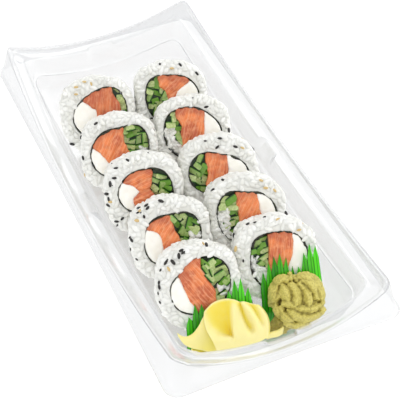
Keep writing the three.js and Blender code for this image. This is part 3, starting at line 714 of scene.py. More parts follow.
class Scatter:
    """Geometry Nodes that lay small shapes on a surface or on points."""

    SHAPES = ("Shapes", "NodeSocketGeometry")
    GRAINS_A_SQUARE_METRE = 2e6

    def __init__(self, looks: dict) -> None:
        """Builds both trees.

        Args:
            looks: slot name to material.
        """
        self.looks = looks
        self.heap = self._heap()
        self.placed = self._placed()

    @staticmethod
    def _shape(wiring: Wiring, size: NodeSocket) -> NodeSocket:
        """A small rounded body of the given length, width and height."""
        ball = wiring.add("GeometryNodeMeshIcoSphere", {"Radius": 0.5 * MM, "Subdivisions": 2}).outputs[0]
        return wiring.add("GeometryNodeTransform", {"Geometry": ball, "Scale": size}).outputs[0]

    def _heap(self) -> NodeTree:
        """Covers the marked part of a body with lying grains and keeps the body under them."""
        number, vector = "NodeSocketFloat", "NodeSocketVector"
        inputs = {
            "Body": ("NodeSocketGeometry", None),
            "Grain size": (vector, (5.0, 2.1, 1.8)),
            "Spacing": (number, 2.0),
            "Sink": (number, 0.5),
            "Tilt": (number, 0.3),
            "Seed": ("NodeSocketInt", 0),
            "Material": ("NodeSocketMaterial", None),
        }
        wiring, given = start_group("Grain heap", "GeometryNodeTree", inputs, self.SHAPES)
        tilt, seed = given["Tilt"], given["Seed"]
        values = {
            "Mesh": given["Body"],
            "Distance Min": wiring.math("MULTIPLY", given["Spacing"], MM),
            "Density Max": self.GRAINS_A_SQUARE_METRE,
            "Density Factor": wiring.stored(SHOWN, "FLOAT"),
            "Seed": seed,
        }
        laid = wiring.add("GeometryNodeDistributePointsOnFaces", values, distribute_method="POISSON")
        down = wiring.scaled(laid.outputs["Normal"], wiring.math("MULTIPLY", given["Sink"], -MM))
        points = wiring.add("GeometryNodeSetPosition", {"Geometry": laid.outputs["Points"], "Offset": down})
        negative = wiring.math("MULTIPLY", tilt, -1.0)
        low = wiring.add("ShaderNodeCombineXYZ", {0: negative, 1: negative, 2: 0.0}).outputs[0]
        high = wiring.add("ShaderNodeCombineXYZ", {0: tilt, 1: tilt, 2: FULL_TURN}).outputs[0]
        turned = wiring.add("FunctionNodeEulerToRotation", {0: wiring.chance(low, high, seed)}).outputs[0]
        lying = {"Rotation": laid.outputs["Rotation"], "Rotate By": turned}
        values = {
            "Points": points.outputs[0],
            "Instance": self._shape(wiring, given["Grain size"]),
            "Rotation": wiring.add("FunctionNodeRotateRotation", lying, rotation_space="LOCAL").outputs[0],
            "Scale": wiring.chance((0.72, 0.85, 0.85), (1.12, 1.12, 1.12), wiring.math("ADD", seed, 5.0)),
        }
        grains = wiring.add("GeometryNodeInstanceOnPoints", values).outputs[0]
        shade = {2: 0.25, 3: 1.0, "Seed": wiring.math("ADD", seed, 9.0)}
        tint = wiring.add("FunctionNodeRandomValue", shade, data_type="FLOAT").outputs[1]
        real = wiring.tinted(grains, tint, "INSTANCE")
        whole = wiring.add("GeometryNodeJoinGeometry", {0: wiring.tinted(given["Body"], 0.3, "POINT")})
        wiring.feed(whole.inputs[0], wiring.add("GeometryNodeRealizeInstances", {0: real}).outputs[0])
        return self._dress(wiring, whole.outputs[0], given["Material"])

    def _placed(self) -> NodeTree:
        """Puts one shape on each point, turned by the point's stored directions."""
        inputs = {
            "Points": ("NodeSocketGeometry", None),
            "Size": ("NodeSocketVector", (3.0, 1.6, 0.9)),
            "Material": ("NodeSocketMaterial", None),
        }
        wiring, given = start_group("Placed shapes", "GeometryNodeTree", inputs, self.SHAPES)
        align = "FunctionNodeAlignRotationToVector"
        upright = wiring.add(align, {"Vector": wiring.stored(FACING, "FLOAT_VECTOR")}, axis="Z").outputs[0]
        aimed = {"Rotation": upright, "Vector": wiring.stored(ALONG, "FLOAT_VECTOR")}
        values = {
            "Points": wiring.add("GeometryNodeMeshToPoints", {"Mesh": given["Points"]}).outputs[0],
            "Instance": self._shape(wiring, given["Size"]),
            "Rotation": wiring.add(align, aimed, axis="X", pivot_axis="Z").outputs[0],
            "Scale": wiring.stored(SHARE, "FLOAT"),
        }
        laid = wiring.add("GeometryNodeInstanceOnPoints", values).outputs[0]
        real = wiring.add("GeometryNodeRealizeInstances", {0: laid}).outputs[0]
        return self._dress(wiring, real, given["Material"])

    @staticmethod
    def _dress(wiring: Wiring, shapes: object, material: object) -> NodeTree:
        """Ends a tree with its shapes, in the given material."""
        dressed = wiring.add("GeometryNodeSetMaterial", {"Geometry": shapes, "Material": material})
        wiring.add("NodeGroupOutput", {"Shapes": dressed.outputs[0]})
        return wiring.tree

    @staticmethod
    def _run(piece: Object, tree: NodeTree, values: dict) -> Object:
        """Runs a tree on a piece with its inputs set, and keeps the plain mesh."""
        modifier = piece.modifiers.new(tree.name, "NODES")
        modifier.node_group = tree
        for item in tree.interface.items_tree:
            if item.in_out == "INPUT" and item.name in values:
                modifier[item.identifier] = values[item.name]
        return settle(piece)

    def cover(self, body: Object, values: dict, slot: Slot) -> Object:
        """Covers a body with grains; its mesh stores where they are shown."""
        return self._run(body, self.heap, values | {"Material": self.looks[slot]})

    def put(self, name: str, rows: list, size: tuple, material: Material) -> Object:
        """Puts one shape at each row's place.

        Args:
            name: the piece's name.
            rows: place, facing, along, tint and share of the full size of each shape, in millimetres.
            size: the shape's length, width and height.
            material: its finish.

        Returns:
            The piece.
        """
        piece = mesh_object(name, np.array([row[0] for row in rows]), [], mend=False)
        for column, stored in enumerate((FACING, ALONG, TINT, SHARE), 1):
            mark(piece, stored, np.array([row[column] for row in rows], float))
        return self._run(piece, self.placed, {"Size": size, "Material": material})


# ---------- the tray ----------


@dataclass(frozen=True)
class Level:
    """One line round the tray: how far in it lies, its corner radius and its heights."""

    inset: float
    radius: float
    corner: float
    long: float
    short: float
    bow: float = 0.0
    recess: float = 0.0


@dataclass
class ClearTray:
    """The clear tray: a skirt, a raised rim that dips between its corners, and a well with a flat floor."""

    length: float = 250.3
    width: float = 120.0
    sheet: float = 0.8
    skirt: float = 13.0
    crest: tuple = (30.0, 18.1, 16.7)
    saddle: float = 2.1
    bows: tuple = (3.3, 3.7)
    recess_half: float = 8.0
    recess_ramp: float = 1.8
    recess_depth: float = 2.4
    corner_steps: int = 10
    between: int = 4

    def levels(self) -> list[Level]:
        """The lines from the skirt's edge over the crest to the floor."""
        top, long, short = self.crest
        deep = self.recess_depth
        edge = self.skirt
        return [
            Level(0, 6.5, edge, edge, edge),
            Level(1.2, 6.2, edge + 0.7, edge + 0.7, edge + 0.7),
            Level(4.6, 5.4, top - 0.8, long - 0.6, short - 0.6, 1),
            Level(5.6, 5.2, top, long, short, 1),
            Level(6.9, 5, top - 0.5, long - 0.3, short - 0.3, 1),
            Level(7.9, 5, top - 2.9, long - 1.6, short - 1.4, 1),
            Level(11.2, 5.5, top - 5.2, long - 2.1, short - 1.8, 0.95, deep * 0.85),
            Level(12.4, 6, top - 4.9, long - 1.7, short - 1.3, 0.85, deep),
            Level(13.6, 7, top - 7, long - 2.8, short - 2.2, 0.65, deep),
            Level(15.1, 8, 14.6, 7.2, 6.6, 0.45),
            Level(16.2, 8.4, 13.6, 6.3, 5.7, 0.3),
            Level(17.3, 9, 3.4, 3.2, 3.2, 0.1),
            Level(19.4, 8, self.sheet, self.sheet, self.sheet),
        ]

    def stations(self) -> tuple[np.ndarray, np.ndarray, np.ndarray]:
        """Which side, how far along it and which way out, for each place round the rim."""
        long = np.union1d(np.linspace(-1, 1, 45), [-0.087, -0.078, -0.069, 0.069, 0.078, 0.087])
        short = np.union1d(np.linspace(-1, 1, 25), [-0.196, -0.176, -0.156, 0.156, 0.176, 0.196])
        side, fraction, angle = [], [], []
        for number in range(4):
            facing = number * math.pi / 2
            steps = long if number % 2 == 0 else short
            turns = facing + np.arange(1, self.corner_steps) / self.corner_steps * math.pi / 2
            side += [number] * (len(steps) + len(turns))
            fraction += list(steps) + [1.0] * len(turns)
            angle += [facing] * len(steps) + list(turns)
        return np.array(side), np.array(fraction), np.array(angle)

    def ring(self, level: Level) -> np.ndarray:
        """The closed line of one level."""
        side, fraction, angle = self.stations()
        is_long = side % 2 == 0
        half_x, half_y = self.width / 2 - level.inset, self.length / 2 - level.inset
        corner_x, corner_y = half_x - level.radius, half_y - level.radius
        facing = side * math.pi / 2
        along = fraction * np.where(is_long, corner_y, corner_x)
        out = np.where(is_long, corner_x, corner_y)
        x = np.cos(facing) * out - np.sin(facing) * along + level.radius * np.cos(angle)
        y = np.sin(facing) * out + np.cos(facing) * along + level.radius * np.sin(angle)
        dip_x = np.minimum(1, np.abs(x) / half_x) ** self.saddle
        dip_y = np.minimum(1, np.abs(y) / half_y) ** self.saddle
        turn = (angle - facing) / (math.pi / 2)
        share = np.where(is_long, 1 - turn, turn)
        z_long = level.long + (level.corner - level.long) * dip_y
        z_short = level.short + (level.corner - level.short) * dip_x
        bow = level.bow * np.where(is_long, self.bows[0] * (1 - dip_y), self.bows[1] * (1 - dip_x))
        start = self.recess_half - self.recess_ramp / 2
        inside = 1 - smooth_step(start, self.recess_half, np.abs(along))
        push = bow * (1 - turn) + level.recess * inside
        x, y = x + np.cos(angle) * push, y + np.sin(angle) * push
        return np.stack([x, y, z_long * share + z_short * (1 - share)], 1)

    def build(self, finish: Material) -> Object:
        """Makes the sheet through its levels and gives it its thickness."""
        rings = np.array([self.ring(level) for level in self.levels()])
        spans = len(rings) - 1
        rings = catmull(rings, np.linspace(0, 1, spans * self.between + 1))
        count = rings.shape[1]
        points = rings.reshape(-1, 3)
        faces = loft_faces(len(rings), count, False)
        last = (len(rings) - 1) * count
        faces.append(tuple(range(last, last + count)))
        tray = mesh_object("tray_shell", points, faces)
        if sum(tray.data.polygons[-1].normal) < 0:
            tray.data.flip_normals()
        thick = tray.modifiers.new("sheet", "SOLIDIFY")
        thick.thickness = self.sheet * MM
        thick.offset = -1
        thick.use_even_offset = False
        settle(tray)
        hand_over(tray, Slot.TRAY, finish, "tray")
        return tray


# ---------- the rolls ----------


@dataclass(frozen=True)
class RollPlace:
    """Where a roll leans. Its own frame is right, up its front face and out of it.

    The flake is the turn of its salmon's grain in degrees, the spot its patch of loose grains as left, right,
    bottom and top, and dull is how much painted shade browns its salmon all over, from 0 to 1.
    """

    name: str
    x: float
    y: float
    flake: float
    spot: tuple | None = None
    dull: float = 0.0
    yaw: float = 17.0
    tilt: float = 38.0
    height: float = 30.75

    def axes(self) -> np.ndarray:
        """Right, up and out as the columns of a matrix."""
        yaw = Matrix.Rotation(math.radians(-self.yaw), 3, "Z")
        lean = Matrix.Rotation(math.radians(90 - self.tilt), 3, "X")
        return np.array(yaw @ lean)

    def to_world(self, points: np.ndarray) -> np.ndarray:
        """Places given in the roll's frame, in the part's frame."""
        return np.asarray(points, float) @ self.axes().T + np.array([self.x, self.y, self.height])

    def to_roll(self, points: np.ndarray) -> np.ndarray:
        """Places given in the part's frame, in the roll's frame."""
        return (np.asarray(points, float) - np.array([self.x, self.y, self.height])) @ self.axes()

    def node(self, layer: str) -> str:
        """The name of a CAD node of this roll."""
        return f"roll_{self.name}_{layer}"

    def holds_rice(self, u: float, v: float) -> bool:
        """True if this place of the face is in the roll's patch of loose grains."""
        if self.spot is None:
            return False
        left, right, bottom, top = self.spot
        return left < u < right and bottom < v < top


ROLLS = (
    # l1's salmon gets painted shade all over, for the shade inside its rice ring.
    RollPlace("l1", -28, 45.2, 78, dull=0.5),
    RollPlace("l2", -28, 13.2, 62, (11.0, 14.5, -2.5, 1.5)),
    RollPlace("l3", -28, -19.4, 20),
    RollPlace("l4", -28, -53.2, 55, (9.0, 14.0, -2.5, 2.5)),
    RollPlace("l5", -28, -85.5, 125, (9.5, 14.5, -3.5, 1.0)),
    RollPlace("r1", 13.1, 41, 40),
    RollPlace("r2", 12.7, 10.4, 70, (-16.5, -10.5, -6.0, 4.5)),
    RollPlace("r3", 12.3, -22.6, 75),
    RollPlace("r4", 12.8, -53.9, 60, (-16.0, -10.0, -10.0, 3.0)),
    RollPlace("r5", 13.1, -85, 80, (-14.0, -9.0, -3.0, 2.0)),
)


@dataclass(frozen=True)
class Stick:
    """One cut strip on a roll's face, with skin on one long side or none; dark is painted shade, for the bed
    of strips that shows in the gaps.
    """

    middle: tuple
    half: tuple
    turn: float
    front: float
    slant: tuple
    skin: float
    tint: float
    dark: float = 0.0


@dataclass(frozen=True)
class FreePlaces:
    """The places of a roll's face that no other filling takes, as a net of yes and no."""

    cells: np.ndarray
    low: tuple
    step: float

    def has(self, u: float, v: float) -> bool:
        """True if this place of the face is free."""
        i, j = round((u - self.low[0]) / self.step), round((v - self.low[1]) / self.step)
        return 0 <= i < self.cells.shape[0] and 0 <= j < self.cells.shape[1] and bool(self.cells[i, j])

    def middle(self) -> tuple:
        """The middle of all free places."""
        i, j = np.argwhere(self.cells).mean(0)
        return (self.low[0] + i * self.step, self.low[1] + j * self.step)

    def reach(self, start: tuple, turn: float, limit: float) -> float:
        """How far the free places go on in one direction, up to a limit."""
        far = 0.3
        while far < limit and self.has(start[0] + far * math.cos(turn), start[1] + far * math.sin(turn)):
            far += self.step
        return min(far, limit)


@dataclass
class SalmonRoll:
    """One inside-out roll: rice with sesame round a ring of nori that holds cheese, salmon and cucumber.

    Squarer and wider say how much the rice is so towards the other column and away from it. The rice lumps
    are pairs of size and depth, and the sticks' sizes are the least and the most of half a side.
    """

    place: RollPlace
    looks: dict
    scatter: Scatter
    seed: int
    thickness: float = 21.2
    half_width: float = 19.15
    half_height: float = 20.2
    roundness: float = 2.2
    edge_round: float = 2.6
    nori_sheet: float = 0.45
    filling_growth: float = 0.4
    around: int = 96
    skin_depth: float = 0.75
    squarer: tuple = (0.7, 0.4)
    wider: tuple = (0.8, 0.5)
    rice_lumps: tuple = ((10.0, 1.1), (3.0, 0.4))
    rice_gap: float = 0.05
    core_sink: float = 0.7
    filling_face: float = 0.5
    flake_pitch: float = 4.6
    flake_depth: float = 0.22
    # How far in from the nori the salmon's painted shade fades out, in millimetres.
    dull_rim: tuple = (0.4, 4.5)
    stick_pitch: float = 3.35
    stick_length: tuple = (1.9, 3.4)
    stick_width: tuple = (1.2, 1.9)
    stick_front: tuple = (-2.4, 0.3)
    stick_corners: int = 24
    stick_squareness: int = 12
    grain_size: tuple = (4.6, 2.3, 2.0)
    grain_level: tuple = (-2.4, -1.3)
    grain_tries: int = 1500
    grain_gap: float = 1.45

    def outline(self, angle: np.ndarray) -> np.ndarray:
        """The rice's outer radius in each direction, squarer where it presses on the other column."""
        inner = np.sign(-self.place.x) * np.cos(angle)
        pressed = smooth_step(0.2, 0.8, inner)
        outwards = smooth_step(0.2, 0.8, -inner)
        power = self.roundness + self.squarer[0] * pressed + self.squarer[1] * outwards
        half_width = self.half_width + self.wider[0] * pressed + self.wider[1] * outwards
        x = np.abs(np.cos(angle)) / half_width
        y = np.abs(np.sin(angle)) / self.half_height
        return (x**power + y**power) ** (-1 / power)

    def nori_radius(self, angle: np.ndarray) -> np.ndarray:
        """The nori's outer radius in each direction, as its CAD node has it."""
        local = self.place.to_roll(corners(FRAME["nodes"][self.place.node("nori")]))
        turns = np.mod(np.arctan2(local[:, 1], local[:, 0]), FULL_TURN)
        reach = np.hypot(local[:, 0], local[:, 1])
        count = 24
        slots = np.round(turns / FULL_TURN * count).astype(int) % count
        known = np.array([reach[slots == k].max() for k in range(count)])
        share = np.mod(angle, FULL_TURN) / FULL_TURN
        return catmull(known, share.ravel(), closed=True).reshape(share.shape)

    def ring_body(self, layer: str, rings: list) -> Object:
        """A body through closed rings of the roll's frame, the last joined to the first."""
        points = self.place.to_world(np.array(rings).reshape(-1, 3))
        return mesh_object(self.place.node(layer), points, loft_faces(len(rings), len(rings[0]), True))

    def inside_nori(self, local: np.ndarray) -> np.ndarray:
        """How far inside the nori each place of the roll's frame lies."""
        u, v = local[:, 0], local[:, 1]
        return self.nori_radius(np.arctan2(v, u)) - np.hypot(u, v)

    def build_rice(self) -> None:
        """Makes the rice ring and lays grains all over its outside."""
        angle = np.linspace(0, FULL_TURN, self.around, endpoint=False)
        bend, straight = self.edge_round, 4.5
        front, back = -self.skin_depth, self.skin_depth - self.thickness
        outer = self.outline(angle) - self.skin_depth
        hole = self.nori_radius(angle) + self.rice_gap
        face = [hole + (outer - bend - hole) * s for s in (0.06, 0.35, 0.7)]
        edge = [(1 - math.cos(a), math.sin(a)) for a in np.linspace(0, math.pi / 2, 4)]
        rows = [(hole, front), (hole, back)]
        rows += [(reach, back) for reach in face]
        rows += [(outer - bend + bend * w, back + bend * s) for s, w in edge]
        rows += [(outer, z) for z in np.linspace(straight - self.thickness, -straight, 4)]
        rows += [(outer - bend + bend * w, front - bend * s) for s, w in reversed(edge)]
        rows += [(reach, front) for reach in reversed(face)]
        body = self.ring_body("rice_grains", [polar(reach, angle, z) for reach, z in rows])
        hidden = self.inside_nori(self.place.to_roll(corners(body))) > -2 * self.rice_gap
        mark(body, SHOWN, 1.0 - hidden.astype(float))
        for size, depth in self.rice_lumps:
            roughen(body, size, depth, self.seed)
        values = {"Grain size": (6.0, 2.8, 2.5), "Spacing": 2.15, "Sink": 0.55, "Tilt": 0.3}
        self.scatter.cover(body, values | {"Seed": self.seed}, Slot.RICE)
        hand_over(body, Slot.RICE, None, self.place.node("rice"))

    def build_core(self) -> None:
        """Makes the loose rice inside the nori, where the roll has some."""
        name = self.place.node("core")
        if name not in FRAME["nodes"]:
            return
        body = softened(name, self.place.node("core_grains"), 0.8, 2)
        lift(body, -self.core_sink)
        mark(body, SHOWN, np.ones(len(body.data.vertices)))
        values = {"Grain size": (4.4, 2.0, 1.8), "Spacing": 1.8, "Sink": 0.35, "Tilt": 0.5}
        self.scatter.cover(body, values | {"Seed": self.seed + 50}, Slot.RICE)
        hand_over(body, Slot.RICE, None, name)

    def build_nori(self) -> None:
        """Makes the nori ring with small ripples and an uneven cut edge."""
        angle = np.linspace(0, FULL_TURN, 2 * self.around, endpoint=False)
        radius = self.nori_radius(angle)
        line = polar(radius, angle, 0.0)
        ripple = 0.1 * np.sin(23 * angle + self.seed) + 0.08 * np.sin(41 * angle)
        folds = smooth_step(0.05, 0.55, waver(line, 5.5, self.seed))
        cut = 0.5 * folds + 0.5 * waver(line, 2.2, self.seed)
        thick = self.nori_sheet * (0.75 + 1.7 * folds)
        rings = []
        for inset, z, sign in ((1, -1, 0), (1, -0.5, 0), (1, 0, 1), (0, 0, 1), (0, -0.5, 0), (0, -1, 0)):
            level = z * (self.thickness - 0.3) - 0.15 + sign * (cut - 0.25)
            rings.append(polar(radius - inset * thick + ripple, angle, level))
        ring = self.ring_body("nori_sheet", rings)
        hand_over(ring, Slot.NORI, self.looks[Slot.NORI], self.place.node("nori"))

    def filling(self, layer: str, name: str) -> Object:
        """The CAD solid of one filling with soft edges, grown a little to touch its neighbours."""
        piece = softened(self.place.node(layer), self.place.node(name), self.filling_face, 2)
        lift(piece, self.filling_growth)
        return piece

    def build_cheese(self) -> None:
        """Makes the cream cheese with softly rounded edges."""
        piece = self.filling("cheese", "cheese_block")
        roughen(piece, 5.0, 0.3, self.seed)
        hand_over(piece, Slot.CHEESE, self.looks[Slot.CHEESE], self.place.node("cheese"))

    def build_salmon(self) -> None:
        """Makes the salmon with shallow steps between its flakes, with painted shade beside the nori."""
        piece = self.filling("salmon", "salmon_strip")
        local = self.place.to_roll(corners(piece))
        turn = math.radians(self.place.flake)
        across = local[:, 0] * math.sin(turn) - local[:, 1] * math.cos(turn)
        along = local[:, 0] * math.cos(turn) + local[:, 1] * math.sin(turn)
        flaked = np.stack([across, along, local[:, 2]], 1)
        mark(piece, GRAIN_PLACE, flaked)
        # Painted shade: browner towards the nori, where the ring shades the salmon, and at least the roll's
        # own share all over.
        dull = 1 - smooth_step(*self.dull_rim, self.inside_nori(local))
        mark(piece, TINT, np.maximum(self.place.dull, dull))
        wave = np.sin(across * FULL_TURN / self.flake_pitch + 1.5 * waver(flaked, 7.0, self.seed))
        uneven = waver(flaked * np.array([1, 0.4, 0.4]), 2.2, self.seed + 2)
        lift(piece, self.flake_depth * wave + 0.25 * uneven)
        hand_over(piece, Slot.SALMON, self.looks[Slot.SALMON], self.place.node("salmon"))

    def build_cucumber(self) -> None:
        """Fills what the other fillings leave free with askew strips, over a bed of the rest painted dark
        green as the shade in the gaps.
        """
        name = self.place.node("cucumber")
        local = self.place.to_roll(corners(FRAME["nodes"][name]))
        low, high = local.min(0)[:2] - 1.0, local.max(0)[:2] + 1.0
        free = self.free_places(low, high)
        chance = random.Random(self.seed)
        lean = chance.uniform(-0.7, 0.7)
        # The bed behind the strips: a dark sheet of painted shade that shows between them.
        sticks = [Stick(free.middle(), (16.0, 16.0), 0.0, -2.6, (0.0, 0.0), 0.0, 1.0, dark=0.8)]
        pitch = self.stick_pitch
        for row in range(10):
            for column in range(7):
                u = low[0] + pitch * (column + 0.5 * (row % 2)) + chance.uniform(-0.7, 0.7)
                v = low[1] + pitch * row * 0.9 + chance.uniform(-0.7, 0.7)
                quarter = math.pi / 2 if chance.random() < 0.25 else 0.0
                stick = Stick(
                    (u, v),
                    (chance.uniform(*self.stick_length), chance.uniform(*self.stick_width)),
                    lean + quarter + chance.uniform(-0.4, 0.4),
                    chance.uniform(*self.stick_front),
                    (chance.uniform(-0.35, 0.35), chance.uniform(-0.5, 0.5)),
                    chance.choice((-1.0, 1.0, 1.0, 1.0, 0.0)),
                    chance.choice((0.0, 0.1, 0.5, 1.0)),
                )
                if free.has(u, v) and not self.place.holds_rice(u, v):
                    sticks.append(stick)
        points, faces, skins, tints = [], [], [], []
        for stick in sticks:
            self._stick(stick, free, (points, faces, skins, tints))
        world = self.place.to_world(np.array(points))
        piece = mesh_object(self.place.node("cucumber_sticks"), world, faces, mend=False)
        mark(piece, SKIN, np.array(skins))
        mark(piece, TINT, np.array(tints))
        bevel = piece.modifiers.new("soft edges", "BEVEL")
        bevel.width, bevel.segments, bevel.angle_limit = 0.12 * MM, 2, math.radians(50)
        settle(piece)
        piece.data.shade_flat()
        hand_over(piece, Slot.CUCUMBER, self.looks[Slot.CUCUMBER], name)
        self.build_inner_rice(free)

    def free_places(self, low: np.ndarray, high: np.ndarray) -> FreePlaces:
        """Finds where the ring's inside holds neither salmon nor cheese nor loose rice.

        Args:
            low: the least right and up that count.
            high: the greatest.

        Returns:
            The free places.
        """
        step, nori_gap, before, reach = 0.25, 0.6, 6.0, 9.0
        u, v = np.meshgrid(np.arange(low[0], high[0], step), np.arange(low[1], high[1], step), indexing="ij")
        free = np.hypot(u, v) < self.nori_radius(np.arctan2(v, u)) - nori_gap
        for layer in ("salmon", "cheese", "core"):
            node = FRAME["nodes"].get(self.place.node(layer))
            if node is None:
                continue
            local = self.place.to_roll(corners(node)).tolist()
            tree = BVHTree.FromPolygons(local, [tuple(face.vertices) for face in node.data.polygons])
            for i, j in np.argwhere(free):
                hit = tree.ray_cast(Vector((u[i, j], v[i, j], before)), Vector((0, 0, -1)), reach)
                free[i, j] = hit[0] is None
        return FreePlaces(free, (float(low[0]), float(low[1])), step)

    def build_inner_rice(self, free: FreePlaces) -> None:
        """Lays the few loose grains that some rolls show beside the cucumber."""
        if self.place.spot is None:
            return
        left, right, bottom, top = self.place.spot
        chance = random.Random(self.seed + 70)
        axes = self.place.axes()
        taken, rows = [], []
        for _ in range(self.grain_tries):
            u, v = chance.uniform(left, right), chance.uniform(bottom, top)
            turn = chance.uniform(0, FULL_TURN)
            tint, share = chance.uniform(0.3, 1), chance.uniform(0.85, 1.15)
            lean = (chance.uniform(-0.5, 0.5), chance.uniform(-0.5, 0.5), 1.0)
            near = any(math.hypot(u - a, v - b) < self.grain_gap for a, b in taken)
            if near or not free.has(u, v):
                continue
            taken.append((u, v))
            spot = self.place.to_world(np.array([u, v, chance.uniform(*self.grain_level)]))
            along = axes @ np.array([math.cos(turn), math.sin(turn), 0.0])
            rows.append((spot, axes @ np.array(lean), along, tint, share))
        name = self.place.node("loose_grains")
        grains = self.scatter.put(name, rows, self.grain_size, self.looks[Slot.RICE])
        hand_over(grains, Slot.RICE, None)

    def _stick(self, stick: Stick, free: FreePlaces, into: tuple) -> None:
        """Adds one strip that is cut back to the free places.

        Args:
            stick: the strip.
            free: the places that it may fill.
            into: the lists of points, faces, skin and tint values that it adds to.
        """
        points, faces, skins, tints = into
        count, power = self.stick_corners, self.stick_squareness
        half_u, half_v = stick.half
        angle = np.arange(count) / count * FULL_TURN
        square = (np.abs(np.cos(angle)) / half_u) ** power + (np.abs(np.sin(angle)) / half_v) ** power
        reach = square ** (-1 / power)
        for k in range(count):
            reach[k] = free.reach(stick.middle, angle[k] + stick.turn, reach[k])
        waist, end = -8.0, -17.0
        levels = ((0, 0), (0.55, 0), (0.84, 0), (1, 0), (1, waist), (1, end), (0, end))
        start = len(points)
        for share, z in levels:
            number = 1 if share == 0 else count
            for k in range(number):
                tip = angle[k] + stick.turn
                spot = reach[k] * share
                u, v = spot * math.cos(angle[k]), spot * math.sin(angle[k])
                slant = (stick.slant[0] * u + stick.slant[1] * v) if z == 0 else 0.0
                place = (stick.middle[0] + spot * math.cos(tip), stick.middle[1] + spot * math.sin(tip))
                points.append((*place, stick.front + slant + z))
                skin = float(smooth_step(0.35, 0.95, v * stick.skin / half_v))
                # The bed's painted shade outweighs any skin.
                skins.append(max(skin, stick.dark))
                tints.append(stick.tint)
        first = start + 1
        last = first + 5 * count
        ring = [(k, (k + 1) % count) for k in range(count)]
        faces.extend((start, first + k, first + n) for k, n in ring)
        for low in range(first, last - count, count):
            faces.extend((low + k, low + count + k, low + count + n, low + n) for k, n in ring)
        faces.extend((last, last - count + n, last - count + k) for k, n in ring)

    def build(self) -> None:
        """Makes all layers of the roll."""
        self.build_rice()
        self.build_nori()
        self.build_core()
        self.build_cheese()
        self.build_salmon()
        self.build_cucumber()


# A seed's place in the picture in pixels, its turn in degrees and its share of the full size.
BLACK_SEEDS = (
    (159.7, 65, 95, 1),
    (180.2, 65, -50, 1),
    (196.9, 73.6, -50, 1),
    (96.1, 123.6, 30, 1),
    (72.4, 143.9, -5, 1.2),
    (83.2, 157.8, 100, 1),
    (127.8, 160.6, -45, 1),
    (116, 167.8, 20, 1),
    (114.1, 178.1, 0, 1),
    (109.8, 184.2, 90, 1.25),
    (106.9, 193.9, 0, 1.2),
    (108.9, 199.1, 90, 1),
    (108.3, 205.3, -35, 1),
    (138.7, 208.3, 40, 1),
    (137.8, 213.1, 30, 0.7),
    (146.4, 205.5, 35, 1),
    (147.8, 207.8, 45, 1),
    (143.7, 216.3, -60, 1),
    (122.4, 218.5, 40, 1),
    (116.7, 221.4, 0, 1),
    (127.8, 238, 45, 0.7),
    (131.7, 240.3, -55, 1),
    (131.1, 249.4, 80, 0.7),
    (134.2, 262.4, -45, 0.7),
    (161.1, 201.4, -25, 1.25),
    (178.6, 255.9, 95, 1.2),
    (181.1, 250.6, 30, 1),
    (182.8, 252.8, 35, 1),
    (166.7, 260.6, 45, 1),
    (165.7, 263, 60, 1),
    (173.1, 262.2, -50, 1.25),
    (160.8, 270.2, 60, 0.7),
    (158.8, 282.5, -80, 1),
    (159.6, 287, -80, 1),
    (154.7, 293.9, -65, 0.7),
    (156.7, 303, -45, 0.7),
    (206.3, 245.3, 90, 1.2),
    (212.8, 190.3, 50, 1),
    (234.1, 235.3, 95, 1),
    (226.7, 286.1, 45, 1),
    (228.4, 130.4, 95, 1.25),
    (219.6, 138.5, 0, 1),
    (205.2, 141.1, 0, 0.7),
    (217.1, 146.9, 45, 1),
    (235.4, 146.5, -20, 1),
    (223.4, 180.4, -35, 1),
    (285.9, 214, 90, 1.25),
    (247.6, 224.3, 30, 1),
    (255, 222.8, 20, 0.7),
    (206.3, 106.4, 20, 1),
    (243.3, 260.5, 90, 0.7),
    (151.7, 118.3, 0, 0.7),
)
TAN_SEEDS = (
    (90.8, 83.9, -60, 0.9),
    (84.1, 81.9, 0, 0.9),
    (76.3, 87.4, 0, 1),
    (76.1, 94.1, 0, 0.9),
    (171.6, 68.3, 0, 1),
    (110.5, 202.2, 0, 1),
    (140.2, 210.9, 20, 1),
    (137, 220.8, 0, 1.2),
    (169.1, 268.9, -50, 1),
    (235.8, 248.9, 80, 1.2),
    (242.2, 148.1, -35, 1),
    (265.9, 187.8, 0, 1),
    (260.9, 180.4, -20, 0.9),
    (274.8, 190.4, -45, 0.9),
    (277.5, 219, 10, 1),
    (299.1, 229.8, 15, 0.9),
)


